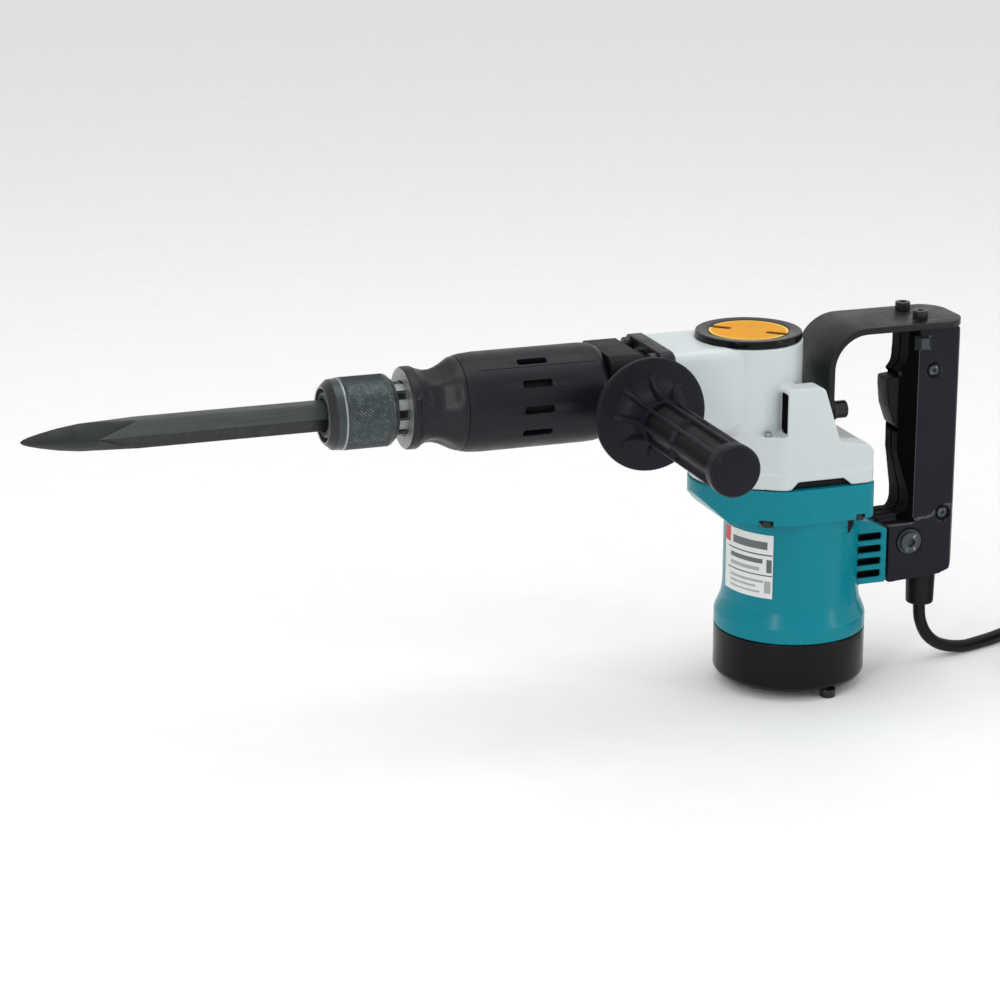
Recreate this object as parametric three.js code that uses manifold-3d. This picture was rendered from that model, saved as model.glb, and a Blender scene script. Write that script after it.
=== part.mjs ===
// Electric demolition hammer with a D-handle, a hexagonal point chisel and a swivelling side grip.
// Millimetres, +Z up. The origin is the middle of the motor end cap's flat bottom, on the motor axis.
// The barrel and the chisel point along -X, the side grip points along -Y, the D-handle is at +X.

import * as THREE from 'three';
import { mergeVertices } from 'three/addons/utils/BufferGeometryUtils.js';
import Module from 'manifold-3d';

const wasm = await Module();
wasm.setup();

// ---------------------------------------------------------------- driving dimensions

const GAP = 0.3; // air between touching pieces
const BARREL_Z = 198; // height of the barrel axis
const CRANK_X = -33; // crankshaft axis, parallel to the motor axis
const GRIP_X = -123; // side grip axis

// chisel and tool holder
const HEX_FLATS = 17;
const CHISEL_REAR_X = -264;
const CHISEL_TIP_X = -490;
const POINT_HALF = 10.2; // half the width across the point's faces where it begins
const POINT_PROFILE = [
  // distance from the tip, half the width across the ground faces
  [0, 0.5],
  [2, 1.4],
  [5.2, 2.2],
  [11.7, 3.4],
  [22, 4.9],
  [43, 6.9],
  [60, 8.6],
  [75, POINT_HALF],
];
const HOLDER_FRONT_X = -308.5;
const HOLDER_REAR_X = -200;
const HOLDER_BORE_R = 10.3;
const HOLDER_TUBE_R = 16.4;
const HOLDER_GROOVES = 8;
const SLEEVE_FRONT_X = -309;
const SLEEVE_REAR_X = -265.5;
const SLEEVE_R = 22;
const FLANGE_FRONT_X = -259.2;

// barrel and cover
const COVER_FRONT_X = -225;
const COVER_REAR_X = -134;
const COVER_R = 30.5;
const SEAT_R = 22; // seat of the side clamp
const BARREL_REAR_X = -103.7;
const BORE_R = 19.6;
const CYLINDER_BORE_R = 15.2;
const SLIDE_R = CYLINDER_BORE_R - GAP; // piston and striker
const PLATE_FRONT_X = -103.4;
const PLATE_REAR_X = -94.3;
const PLATE_HALF_Y = 31;
const PLATE_HALF_Z = 27.5;
const BOLT_PITCH = 22; // flange bolts from the barrel axis, each way
const FLANGE_BOLT_HOLE_R = 2.9;
const COVER_INNER_R = 26.4;
const COVER_SLOTS = [30, 60, 90, 120, 240, 270, 300, 330]; // degrees about the barrel, from the top

// hammer mechanism
const PISTON_REAR_X = -107;
const PISTON_LENGTH = 20;
const STRIKER_REAR_X = -154;
const STRIKER_LENGTH = 30;
const IMPACT_BOLT_FRONT_X = -258.5;
const IMPACT_BOLT_REAR_X = -202;

// gear housing
const FRONT_BOX_X = -94;
const FRONT_BOX_HALF_Y = 30;
const FRONT_BOX_HALF_Z = 26.5;
const CRANK_CASE_R = 34;
const CRANK_BORE_R = 29.6;
const CRANK_CASE_TOP_Z = 223.4;
const CAP_R = 33.4;
const CAP_TOP_Z = 228.5;
const LABEL_R = 24.4;
const BODY_HALF_Y = 46.5;
const BODY_REAR_X = 37;
const BODY_CORNER_X = -27;
const NOSE_R = 36.5;
const STEP_Z = 145;
const TOWER_TOP_Z = 199;
const EAR_FRONT_X = -24;
const EAR_INNER_Y = 30;
const EAR_OUTER_Y = 44;
const SEAT_TOP_Z = 181; // top of the block that the handle strap is bolted to
const LEDGE_Z = 158;
const FRONT_LEDGE_Z = 169;
const LEDGE_SCREW_X = -34.5;
const LEDGE_SCREW_Y = -37;

// motor housing and end cap
const MOTOR_R = 43.2;
const FLARE_R = 48.3;
const BORE_MOTOR_R = 39.4;
const MOTOR_SCREW_HOLE_R = 2.3;
const LOUVRES = 4;
const LOUVRE_PITCH = 8.3;
const LOUVRE_HEIGHT = 4.6;
const LABEL_PLATE_LOW_Z = 61.7;
const LABEL_PLATE_HIGH_Z = 103.3;
const LABEL_PLATE_FROM = 177; // degrees about the motor axis, from +X
const LABEL_PLATE_TO = 231;
const END_CAP_TOP_Z = 33;
const BOX_BOTTOM_Z = 112.5;
const BOX_TOP_Z = 135;
const BASE_R = 37.2; // flat base, inside the ring of screw heads
const CAP_SEAT_Z = 0.8; // height of the step that the screw heads sit on
const CAP_SCREW_R = 42.8;
const CAP_SCREW_TURNS = [-77.6, 30, 130]; // degrees about the motor axis, from +X

// rear handle
const STRAP_HALF_Y = 25;
const STRAP_T = 4;
const STRAP_TOP_Z = 229;
const STRAP_FRONT_X = 11.5;
const STRAP_BEND_R = 26;
const STRAP_REAR_X = 107.5;
const STRAP_FOOT_Z = 162;
const STRAP_BOLT_Y = 19;
const STRAP_BOLT_Z = 177;
const TOP_BOLT_X = 79;
const TOP_BOLT_Y = 12.5;
const GRIP_HALF_Y = 18;
const GRIP_WALL = 4;
const GRIP_REAR_X = 107.5;
const TRIGGER_HALF_Y = 8;
const BEVEL_Y = 9; // half width of the grip's front face
const BRACKET_TOP_Z = 95.5;
const GUARD_X = 93;
const GUARD_END_Z = 36;
const BRACKET_BOLT_X = 75;
const BRACKET_BOLT_Z = 84;

// side handle, measured from its swing axis
const CLAMP_HALF_X = 10.6;
const CLAMP_HALF = 26;
const DISC_Y = -60;
const DISC_R = 35;
const GRIP_END_Y = -192;
const STUD_R = 4.2;
const SIDE_GRIP_RIBS = 8;

// mains cord
const CORD_D = 8;
const FLOOR_Z = -4.6; // surface under the end cap's screw heads
const COIL_X = 222;
const COIL_Y = -42;
const COIL_MEAN_R = 52;
const BUNDLE = 31;
const PLUG_R = 13;
const COIL_OUTER_R = COIL_MEAN_R + BUNDLE / 2;
const OUTER_TURN_R = COIL_OUTER_R - CORD_D / 2;
const CORD_Z = FLOOR_Z + CORD_D / 2;
const JOIN_Y = COIL_Y + OUTER_TURN_R; // where the cord runs into the coil, along +X
const LEAD_IN = 34; // straight cord between the tube's end and the coil's first turn
const TAIL = 48; // straight cord between the coil's last turn and the plug, along -Y
const TAIL_X = COIL_X + OUTER_TURN_R;
const PLUG_Z = FLOOR_Z + PLUG_R;
const TIE_HALF = 6;
const TIE_T = 2.2;

// drive
const PINION_R = 5.6;
const PINION_TEETH = 6;
const GEAR_R = 27;
const GEAR_TEETH = 30;
const CRANK_THROW = 12;
const ROD_LENGTH = 50;

// ---------------------------------------------------------------- materials

function material(color, roughness, metalness) {
  return new THREE.MeshStandardMaterial({ color, roughness, metalness });
}

const chiselSteel = material(0x5a5f5c, 0.5, 0.9);
const sleeveSteel = material(0x3c464b, 0.4, 0.85);
const brightSteel = material(0xb4b8ba, 0.3, 1.0);
const blackPaint = material(0x17181b, 0.3, 0.2);
const blackPlastic = material(0x1d1e23, 0.45, 0.0);
const gripPlastic = material(0x24242c, 0.5, 0.0);
const greyPaint = material(0xc8d0d2, 0.4, 0.1);
const tealPlastic = material(0x00808c, 0.3, 0.0);
const labelOrange = material(0xf0af3c, 0.5, 0.0);
const labelWhite = material(0xe4e6e4, 0.4, 0.0);
const strapPaint = material(0x2c302f, 0.4, 0.3);
const cordRubber = material(0x141414, 0.7, 0.0);
const copper = material(0xa8663a, 0.45, 0.8);
const carbon = material(0x2a2a2c, 0.8, 0.1);
const laminate = material(0x6c6e70, 0.5, 0.8);
const tieRubber = material(0x2b2b2b, 0.8, 0.0);

// ---------------------------------------------------------------- geometry helpers

// A closed geometry as a solid, with its faces turned outwards.
function solid(geometry) {
  const bare = geometry.clone();
  for (const name of Object.keys(bare.attributes)) {
    if (name !== 'position') bare.deleteAttribute(name);
  }
  const merged = mergeVertices(bare, 1e-4);
  const vertProperties = new Float32Array(merged.attributes.position.array);
  const triVerts = new Uint32Array(merged.index.array);
  const a = new THREE.Vector3();
  const b = new THREE.Vector3();
  const c = new THREE.Vector3();
  let volume = 0;
  for (let i = 0; i < triVerts.length; i += 3) {
    a.fromArray(vertProperties, 3 * triVerts[i]);
    b.fromArray(vertProperties, 3 * triVerts[i + 1]);
    c.fromArray(vertProperties, 3 * triVerts[i + 2]);
    volume += a.dot(b.cross(c));
  }
  if (volume < 0) triVerts.reverse();
  return new wasm.Manifold(new wasm.Mesh({ numProp: 3, vertProperties, triVerts }));
}

// A solid's surface as a flat-shaded geometry.
function surface(body) {
  const mesh = body.getMesh();
  const geometry = new THREE.BufferGeometry();
  geometry.setAttribute('position', new THREE.BufferAttribute(new Float32Array(mesh.vertProperties), 3));
  geometry.setIndex(new THREE.BufferAttribute(new Uint32Array(mesh.triVerts), 1));
  geometry.computeVertexNormals();
  return geometry;
}

function join(...bodies) {
  return bodies.reduce((sum, body) => sum.add(body));
}

function cut(body, ...tools) {
  return tools.reduce((rest, tool) => rest.subtract(tool), body);
}

// A box from its lowest to its highest corner.
function box(x0, y0, z0, x1, y1, z1) {
  const geometry = new THREE.BoxGeometry(x1 - x0, y1 - y0, z1 - z0);
  geometry.translate((x0 + x1) / 2, (y0 + y1) / 2, (z0 + z1) / 2);
  return solid(geometry);
}

// Turns geometry made about or along +Y or +Z so that it lies along the named axis.
const latheTurn = {
  x: (geometry) => geometry.rotateZ(-Math.PI / 2),
  y: (geometry) => geometry,
  z: (geometry) => geometry.rotateX(Math.PI / 2),
};

// A turned piece: profile points are [radius, place along the axis].
function turned(axis, profile, segments, place = [0, 0, 0]) {
  const points = profile.map(([r, along]) => new THREE.Vector2(r, along));
  points.push(points[0].clone());
  const geometry = latheTurn[axis](new THREE.LatheGeometry(points, segments));
  geometry.translate(...place);
  return solid(geometry);
}

function rod(axis, radius, from, to, segments, place) {
  return turned(axis, [[0, from], [radius, from], [radius, to], [0, to]], segments, place);
}

function tube(axis, inner, outer, from, to, segments, place) {
  return turned(axis, [[inner, from], [outer, from], [outer, to], [inner, to]], segments, place);
}

// A polygon [x, y, corner radius] as a shape with round corners.
function roundedShape(corners, steps = 4) {
  const points = [];
  const count = corners.length;
  corners.forEach(([x, y, r = 0], i) => {
    const here = new THREE.Vector2(x, y);
    if (r === 0) {
      points.push(here);
      return;
    }
    const before = new THREE.Vector2(...corners[(i + count - 1) % count]).sub(here).normalize();
    const after = new THREE.Vector2(...corners[(i + 1) % count]).sub(here).normalize();
    const half = Math.acos(THREE.MathUtils.clamp(before.dot(after), -1, 1)) / 2;
    const reach = r / Math.tan(half);
    const start = here.clone().addScaledVector(before, reach);
    const end = here.clone().addScaledVector(after, reach);
    const curve = new THREE.QuadraticBezierCurve(start, here, end);
    points.push(...curve.getPoints(steps));
  });
  return new THREE.Shape(points);
}

// Extrudes a shape drawn in x and y upwards from z0 to z1.
function raised(shape, z0, z1, curveSegments = 12) {
  const geometry = new THREE.ExtrudeGeometry(shape, { depth: z1 - z0, bevelEnabled: false, curveSegments });
  geometry.translate(0, 0, z0);
  return solid(geometry);
}

// Extrudes a shape drawn in x and z across y, from y0 to y1.
function across(shape, y0, y1, curveSegments = 12) {
  const geometry = new THREE.ExtrudeGeometry(shape, { depth: y1 - y0, bevelEnabled: false, curveSegments });
  geometry.rotateX(Math.PI / 2);
  geometry.translate(0, y1, 0);
  return solid(geometry);
}

// Extrudes a shape drawn in y and z along x, from x0 to x1.
function along(shape, x0, x1, curveSegments = 12) {
  const geometry = new THREE.ExtrudeGeometry(shape, { depth: x1 - x0, bevelEnabled: false, curveSegments });
  geometry.rotateX(Math.PI / 2);
  geometry.rotateZ(Math.PI / 2);
  geometry.translate(x0, 0, 0);
  return solid(geometry);
}

function polygonShape(sides, flats, turn = 0) {
  const r = flats / 2 / Math.cos(Math.PI / sides);
  const points = [];
  for (let i = 0; i < sides; i += 1) {
    const a = turn + (2 * Math.PI * i) / sides;
    points.push(new THREE.Vector2(r * Math.cos(a), r * Math.sin(a)));
  }
  return new THREE.Shape(points);
}

const root = new THREE.Group();

function add(parent, name, body, look) {
  const mesh = new THREE.Mesh(surface(body), look);
  mesh.name = name;
  parent.add(mesh);
  return mesh;
}

function groupAt(x, y, z) {
  const group = new THREE.Group();
  group.position.set(x, y, z);
  root.add(group);
  return group;
}

const barrel = groupAt(0, 0, BARREL_Z);
const crank = groupAt(CRANK_X, 0, 0);
const sideHandle = groupAt(GRIP_X, 0, BARREL_Z);

// ---------------------------------------------------------------- chisel, sleeve and tool holder

function chisel() {
  const flatsUp = polygonShape(6, HEX_FLATS, 0);
  const bar = along(flatsUp, CHISEL_TIP_X, CHISEL_REAR_X);
  const wedge = new THREE.Shape([
    ...POINT_PROFILE.map(([reach, half]) => new THREE.Vector2(CHISEL_TIP_X + reach, half)),
    new THREE.Vector2(CHISEL_REAR_X, POINT_HALF),
    new THREE.Vector2(CHISEL_REAR_X, -POINT_HALF),
    ...POINT_PROFILE.toReversed().map(([reach, half]) => new THREE.Vector2(CHISEL_TIP_X + reach, -half)),
  ]);
  const sideView = across(wedge, -POINT_HALF, POINT_HALF);
  const topView = raised(wedge, -POINT_HALF, POINT_HALF);
  const ground = sideView.intersect(topView).rotate([45, 0, 0]);
  return bar.intersect(ground);
}

function retainerSleeve() {
  return turned('x', [
    [15.2, SLEEVE_FRONT_X],
    [17, SLEEVE_FRONT_X],
    [SLEEVE_R - 0.6, SLEEVE_FRONT_X + 4.5],
    [SLEEVE_R - 0.6, SLEEVE_FRONT_X + 9],
    [SLEEVE_R, SLEEVE_FRONT_X + 9.6],
    [SLEEVE_R, SLEEVE_REAR_X - 4.5],
    [SLEEVE_R - 4, SLEEVE_REAR_X],
    [17, SLEEVE_REAR_X],
    [17, SLEEVE_FRONT_X + 7],
    [15.2, SLEEVE_FRONT_X + 7],
  ], 28);
}

function toolHolder() {
  const turnedBody = turned('x', [
    [HOLDER_BORE_R, HOLDER_FRONT_X],
    [13, HOLDER_FRONT_X],
    [14.8, HOLDER_FRONT_X + 2],
    [14.8, -295.5],
    [HOLDER_TUBE_R, -295.5],
    [HOLDER_TUBE_R, -226],
    [19.2, -226],
    [19.2, HOLDER_REAR_X],
    [12.4, HOLDER_REAR_X],
    [12.4, -222],
    [HOLDER_BORE_R, -222],
  ], 24);
  const grooves = [];
  const ring = HOLDER_TUBE_R + 0.5;
  for (let i = 0; i < HOLDER_GROOVES; i += 1) {
    const a = (2 * Math.PI * i) / HOLDER_GROOVES;
    const centre = [0, ring * Math.cos(a), ring * Math.sin(a)];
    grooves.push(rod('x', 1.1, SLEEVE_REAR_X - GAP, FLANGE_FRONT_X + 1, 5, centre));
  }
  return cut(turnedBody, ...grooves);
}

add(barrel, 'chisel', chisel(), chiselSteel);
add(barrel, 'retainer_sleeve', retainerSleeve(), sleeveSteel);
add(barrel, 'tool_holder', toolHolder(), sleeveSteel);

// ---------------------------------------------------------------- barrel, cover and hammer mechanism

function barrelHousing() {
  const shell = turned('x', [
    [16.8, FLANGE_FRONT_X],
    [24, FLANGE_FRONT_X],
    [25.2, FLANGE_FRONT_X + 1.5],
    [25.2, FLANGE_FRONT_X + 6],
    [22.8, FLANGE_FRONT_X + 12],
    [22.6, -241],
    [24, -236],
    [27, -230.5],
    [28.6, COVER_FRONT_X - 1],
    [28.6, COVER_FRONT_X - GAP],
    [26, COVER_FRONT_X - GAP],
    [26, COVER_REAR_X],
    [SEAT_R, COVER_REAR_X],
    [SEAT_R, BARREL_REAR_X],
    [BORE_R, BARREL_REAR_X],
    [BORE_R, -226.4],
    [16.8, -226.4],
  ], 32);
  const flatDepth = 21.6;
  const flats = [-1, 1].map((side) => {
    const near = Math.min(side * flatDepth, side * 30);
    return box(FLANGE_FRONT_X + 6, near, -12, -236, near + 30 - flatDepth, 12);
  });
  return cut(shell, ...flats);
}

function barrelCover() {
  const shell = turned('x', [
    [COVER_INNER_R, COVER_FRONT_X],
    [28.8, COVER_FRONT_X],
    [29.6, COVER_FRONT_X + 3],
    [COVER_R, COVER_FRONT_X + 9],
    [COVER_R, COVER_REAR_X - 10],
    [29.4, COVER_REAR_X - 3.4],
    [27.6, COVER_REAR_X - 0.6],
    [COVER_INNER_R, COVER_REAR_X - 0.6],
  ], 32);
  const slots = COVER_SLOTS.map((turn) => box(-191, -2.4, 24, -172, 2.4, 40).rotate([turn, 0, 0]));
  return cut(shell, ...slots);
}

const flangeBoltPlaces = [
  [-BOLT_PITCH, BOLT_PITCH],
  [BOLT_PITCH, BOLT_PITCH],
  [BOLT_PITCH, -BOLT_PITCH],
  [-BOLT_PITCH, -BOLT_PITCH],
];

function barrelFlange() {
  const outline = roundedShape([
    [-PLATE_HALF_Y, -PLATE_HALF_Z, 7],
    [PLATE_HALF_Y, -PLATE_HALF_Z, 7],
    [PLATE_HALF_Y, PLATE_HALF_Z, 7],
    [-PLATE_HALF_Y, PLATE_HALF_Z, 7],
  ]);
  const plate = along(outline, PLATE_FRONT_X, PLATE_REAR_X);
  const holes = flangeBoltPlaces.map(([y, z]) => {
    return rod('x', FLANGE_BOLT_HOLE_R, PLATE_FRONT_X - 1, PLATE_REAR_X + 1, 12, [0, y, z]);
  });
  return cut(plate, rod('x', 21.5, PLATE_FRONT_X - 1, PLATE_REAR_X + 1, 32), ...holes);
}

// A socket-head bolt along an axis. Its head ends at head and its shank at shank, on either side of zero.
function bolt(axis, headR, head, shankR, shank, recess) {
  const profile = [[0, head], [headR, head], [headR, 0], [shankR, 0], [shankR, shank], [0, shank]];
  const body = turned(axis, profile, 12);
  const beyond = head + Math.sign(head);
  return cut(body, rod(axis, recess, Math.min(head / 2, beyond), Math.max(head / 2, beyond), 6));
}

add(barrel, 'barrel_housing', barrelHousing(), blackPaint);
add(barrel, 'barrel_cover', barrelCover(), blackPlastic);
add(barrel, 'barrel_flange', barrelFlange(), blackPaint);
flangeBoltPlaces.forEach(([y, z], i) => {
  const piece = add(barrel, `flange_bolt_${i + 1}`, bolt('x', 4.4, -4.6, 2.5, 28, 2.2), sleeveSteel);
  piece.position.set(PLATE_FRONT_X - GAP, y, z);
});

const cylinder = tube('x', CYLINDER_BORE_R, BORE_R - GAP, HOLDER_REAR_X + GAP, PISTON_REAR_X, 24);
add(barrel, 'cylinder', cylinder, brightSteel);
add(barrel, 'piston', turned('x', [
  [0, PISTON_REAR_X - PISTON_LENGTH],
  [SLIDE_R, PISTON_REAR_X - PISTON_LENGTH],
  [SLIDE_R, PISTON_REAR_X - 11],
  [SLIDE_R - 1, PISTON_REAR_X - 11],
  [SLIDE_R - 1, PISTON_REAR_X - 9],
  [SLIDE_R, PISTON_REAR_X - 9],
  [SLIDE_R, PISTON_REAR_X],
  [11, PISTON_REAR_X],
  [11, PISTON_REAR_X - 13],
  [0, PISTON_REAR_X - 13],
], 18), brightSteel);
add(barrel, 'striker', turned('x', [
  [0, STRIKER_REAR_X - STRIKER_LENGTH],
  [8, STRIKER_REAR_X - STRIKER_LENGTH],
  [10, STRIKER_REAR_X - STRIKER_LENGTH + 2],
  [10, STRIKER_REAR_X - 19],
  [SLIDE_R, STRIKER_REAR_X - 18],
  [SLIDE_R, STRIKER_REAR_X - 7],
  [SLIDE_R - 1, STRIKER_REAR_X - 7],
  [SLIDE_R - 1, STRIKER_REAR_X - 5],
  [SLIDE_R, STRIKER_REAR_X - 5],
  [SLIDE_R, STRIKER_REAR_X],
  [0, STRIKER_REAR_X],
], 18), brightSteel);
add(barrel, 'impact_bolt', turned('x', [
  [0, IMPACT_BOLT_FRONT_X],
  [8.5, IMPACT_BOLT_FRONT_X],
  [9.8, IMPACT_BOLT_FRONT_X + 1.5],
  [9.8, IMPACT_BOLT_REAR_X - 15.5],
  [12, IMPACT_BOLT_REAR_X - 14],
  [12, IMPACT_BOLT_REAR_X - 4],
  [8, IMPACT_BOLT_REAR_X],
  [0, IMPACT_BOLT_REAR_X],
], 18), brightSteel);

// ---------------------------------------------------------------- gear housing and crank case

// Plan outline shared by the gear housing's foot and the top of the motor housing.
function planOutline(inset) {
  const half = BODY_HALF_Y - inset;
  const rear = BODY_REAR_X - inset;
  const r = NOSE_R - inset;
  const shape = new THREE.Shape();
  const corner = 7;
  const tangent = THREE.MathUtils.degToRad(120);
  shape.moveTo(rear, -half + corner);
  shape.lineTo(rear, half - corner);
  shape.quadraticCurveTo(rear, half, rear - corner, half);
  shape.lineTo(BODY_CORNER_X + corner, half);
  shape.quadraticCurveTo(BODY_CORNER_X, half, BODY_CORNER_X - 0.8 * corner, half - 0.5 * corner);
  shape.lineTo(CRANK_X + r * Math.cos(tangent), r * Math.sin(tangent));
  shape.absarc(CRANK_X, 0, r, tangent, -tangent + 2 * Math.PI, false);
  shape.lineTo(BODY_CORNER_X - 0.8 * corner, -half + 0.5 * corner);
  shape.quadraticCurveTo(BODY_CORNER_X, -half, BODY_CORNER_X + corner, -half);
  shape.lineTo(rear - corner, -half);
  shape.quadraticCurveTo(rear, -half, rear, -half + corner);
  return shape;
}

const motorScrewPlaces = {
  left_front: [-34, -37.5],
  left_rear: [26, -41.5],
  right_front: [-34, 37.5],
  right_rear: [26, 41.5],
};

function gearHousing() {
  const foot = raised(planOutline(0.6), BOX_TOP_Z + GAP, STEP_Z, 6);
  const shoulder = raised(planOutline(2), STEP_Z - 1, LEDGE_Z, 6);
  const frontBox = along(roundedShape([
    [-FRONT_BOX_HALF_Y, BARREL_Z - FRONT_BOX_HALF_Z, 8],
    [FRONT_BOX_HALF_Y, BARREL_Z - FRONT_BOX_HALF_Z, 8],
    [FRONT_BOX_HALF_Y, BARREL_Z + FRONT_BOX_HALF_Z, 8],
    [-FRONT_BOX_HALF_Y, BARREL_Z + FRONT_BOX_HALF_Z, 8],
  ]), FRONT_BOX_X, CRANK_X);
  const low = LEDGE_Z - 8; // hidden lower end of the blocks that stand on the ledge
  const crankCase = rod('z', CRANK_CASE_R, low, CRANK_CASE_TOP_Z, 32, [CRANK_X, 0, 0]);
  const seatBlock = box(-20, -31, low, STRAP_FRONT_X - 0.5, 31, SEAT_TOP_Z);
  const frontLedge = raised(planOutline(2), LEDGE_Z - 1, FRONT_LEDGE_Z, 6);
  const ledge = frontLedge.intersect(box(-80, -60, low, EAR_FRONT_X + 1, 60, TOWER_TOP_Z));
  const ear = roundedShape([
    [EAR_FRONT_X, low],
    [34.6, low],
    [34.6, 155, 2],
    [31.5, 159.6, 2.5],
    [11.5, 162.8, 5],
    [-0.2, TOWER_TOP_Z, 5],
    [EAR_FRONT_X, TOWER_TOP_Z, 2],
  ]);
  const ears = join(across(ear, -EAR_OUTER_Y, -EAR_INNER_Y), across(ear, EAR_INNER_Y, EAR_OUTER_Y));
  const whole = join(foot, shoulder, frontBox, crankCase, seatBlock, ledge, ears);
  const crankBore = rod('z', CRANK_BORE_R, BOX_TOP_Z - 1, CRANK_CASE_TOP_Z + 1, 32, [CRANK_X, 0, 0]);
  const rodBore = rod('x', 22, FRONT_BOX_X - 1, CRANK_X, 28, [0, 0, BARREL_Z]);
  const pinionRoom = box(-22, -13, BOX_TOP_Z - 1, 14, 13, 156);
  const screwHoles = Object.values(motorScrewPlaces).map(([x, y]) => {
    return rod('z', MOTOR_SCREW_HOLE_R, BOX_TOP_Z - 1, STEP_Z + 0.5, 10, [x, y, 0]);
  });
  const boltHoles = flangeBoltPlaces.map(([y, z]) => {
    return rod('x', FLANGE_BOLT_HOLE_R, FRONT_BOX_X - 1, -73, 12, [0, y, BARREL_Z + z]);
  });
  const strapHoles = [-1, 1].map((side) => {
    return rod('x', 2.6, -1, 12, 12, [0, side * STRAP_BOLT_Y, STRAP_BOLT_Z]);
  });
  const earSlots = [-1, 1].map((side) => {
    const y = side * (EAR_INNER_Y + EAR_OUTER_Y) / 2;
    return box(EAR_FRONT_X - 1, y - 4.5, FRONT_LEDGE_Z + 1.5, EAR_FRONT_X + 5, y + 4.5, TOWER_TOP_Z - 4);
  });
  const capSeat = rod('z', CAP_R + GAP, CRANK_CASE_TOP_Z, CAP_TOP_Z, 32, [CRANK_X, 0, 0]);
  const vent = across(roundedShape([[-22, 135], [20, 135], [14, 140], [-17, 140]]), -50, -43.5);
  const ledgeHole = rod('z', 1.7, FRONT_LEDGE_Z - 9, TOWER_TOP_Z, 10, [LEDGE_SCREW_X, LEDGE_SCREW_Y, 0]);
  const hollow = cut(whole, crankBore, rodBore, pinionRoom, vent, ledgeHole, capSeat, ...earSlots);
  return cut(hollow, ...screwHoles, ...boltHoles, ...strapHoles);
}

add(root, 'gear_housing', gearHousing(), greyPaint);
const ledgeScrew = add(root, 'ledge_screw', bolt('z', 2.2, 2.8, 1.4, -7, 1), brightSteel);
ledgeScrew.position.set(LEDGE_SCREW_X, LEDGE_SCREW_Y, FRONT_LEDGE_Z + GAP);

add(crank, 'crank_cap', turned('z', [
  [0, 218],
  [CRANK_BORE_R - GAP, 218],
  [CRANK_BORE_R - GAP, CRANK_CASE_TOP_Z + GAP],
  [CAP_R, CRANK_CASE_TOP_Z + GAP],
  [CAP_R, CAP_TOP_Z - 1],
  [CAP_R - 1, CAP_TOP_Z],
  [LABEL_R + 0.6, CAP_TOP_Z],
  [LABEL_R + 0.6, CAP_TOP_Z - 1.2],
  [0, CAP_TOP_Z - 1.2],
], 32), blackPaint);

function capLabel() {
  const disc = rod('z', LABEL_R, CAP_TOP_Z - 0.9, CAP_TOP_Z - 0.3, 32);
  const notches = [-1, 1].map((side) => {
    const notch = box(11.5, -2.8, CAP_TOP_Z - 2, 30, 2.8, CAP_TOP_Z + 1);
    return notch.rotate([0, 0, side < 0 ? 136 : -44]);
  });
  return cut(disc, ...notches);
}

add(crank, 'cap_label', capLabel(), labelOrange);
add(crank, 'crank_bearing', tube('z', 9.9, CRANK_BORE_R - GAP, 157, 170, 24), brightSteel);

function gearShape(teeth, outer, depth) {
  const points = [];
  for (let i = 0; i < teeth; i += 1) {
    [[-0.3, outer - depth], [-0.12, outer], [0.12, outer], [0.3, outer - depth]].forEach(([step, r]) => {
      const a = (2 * Math.PI * (i + step)) / teeth;
      points.push(new THREE.Vector2(r * Math.cos(a), r * Math.sin(a)));
    });
  }
  return new THREE.Shape(points);
}

function crankshaft() {
  const gear = raised(gearShape(GEAR_TEETH, GEAR_R, 1.8), 139, 148);
  const shaft = rod('z', 9.5, 132, 180, 20);
  const web = rod('z', 22, 178, 187, 32);
  const pin = rod('z', 7, 186, 210, 20, [CRANK_THROW, 0, 0]);
  return join(gear, shaft, web, pin);
}

function connectingRod() {
  const bigEnd = rod('z', 12, 190, 206, 24, [CRANK_THROW, 0, 0]);
  const smallEnd = rod('z', 7, 192, 204, 20, [CRANK_THROW - ROD_LENGTH, 0, 0]);
  const beam = box(CRANK_THROW - ROD_LENGTH, -4, 193, CRANK_THROW, 4, 203);
  const bigBore = rod('z', 7.4, 189, 207, 24, [CRANK_THROW, 0, 0]);
  const smallBore = rod('z', 3.5, 191, 205, 16, [CRANK_THROW - ROD_LENGTH, 0, 0]);
  return cut(join(bigEnd, smallEnd, beam), bigBore, smallBore);
}

add(crank, 'crankshaft', crankshaft(), brightSteel);
add(crank, 'connecting_rod', connectingRod(), brightSteel);

// ---------------------------------------------------------------- motor housing, end cap and motor

const capScrewPlaces = CAP_SCREW_TURNS.map((turn) => {
  const a = THREE.MathUtils.degToRad(turn);
  return [CAP_SCREW_R * Math.cos(a), CAP_SCREW_R * Math.sin(a)];
});

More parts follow.
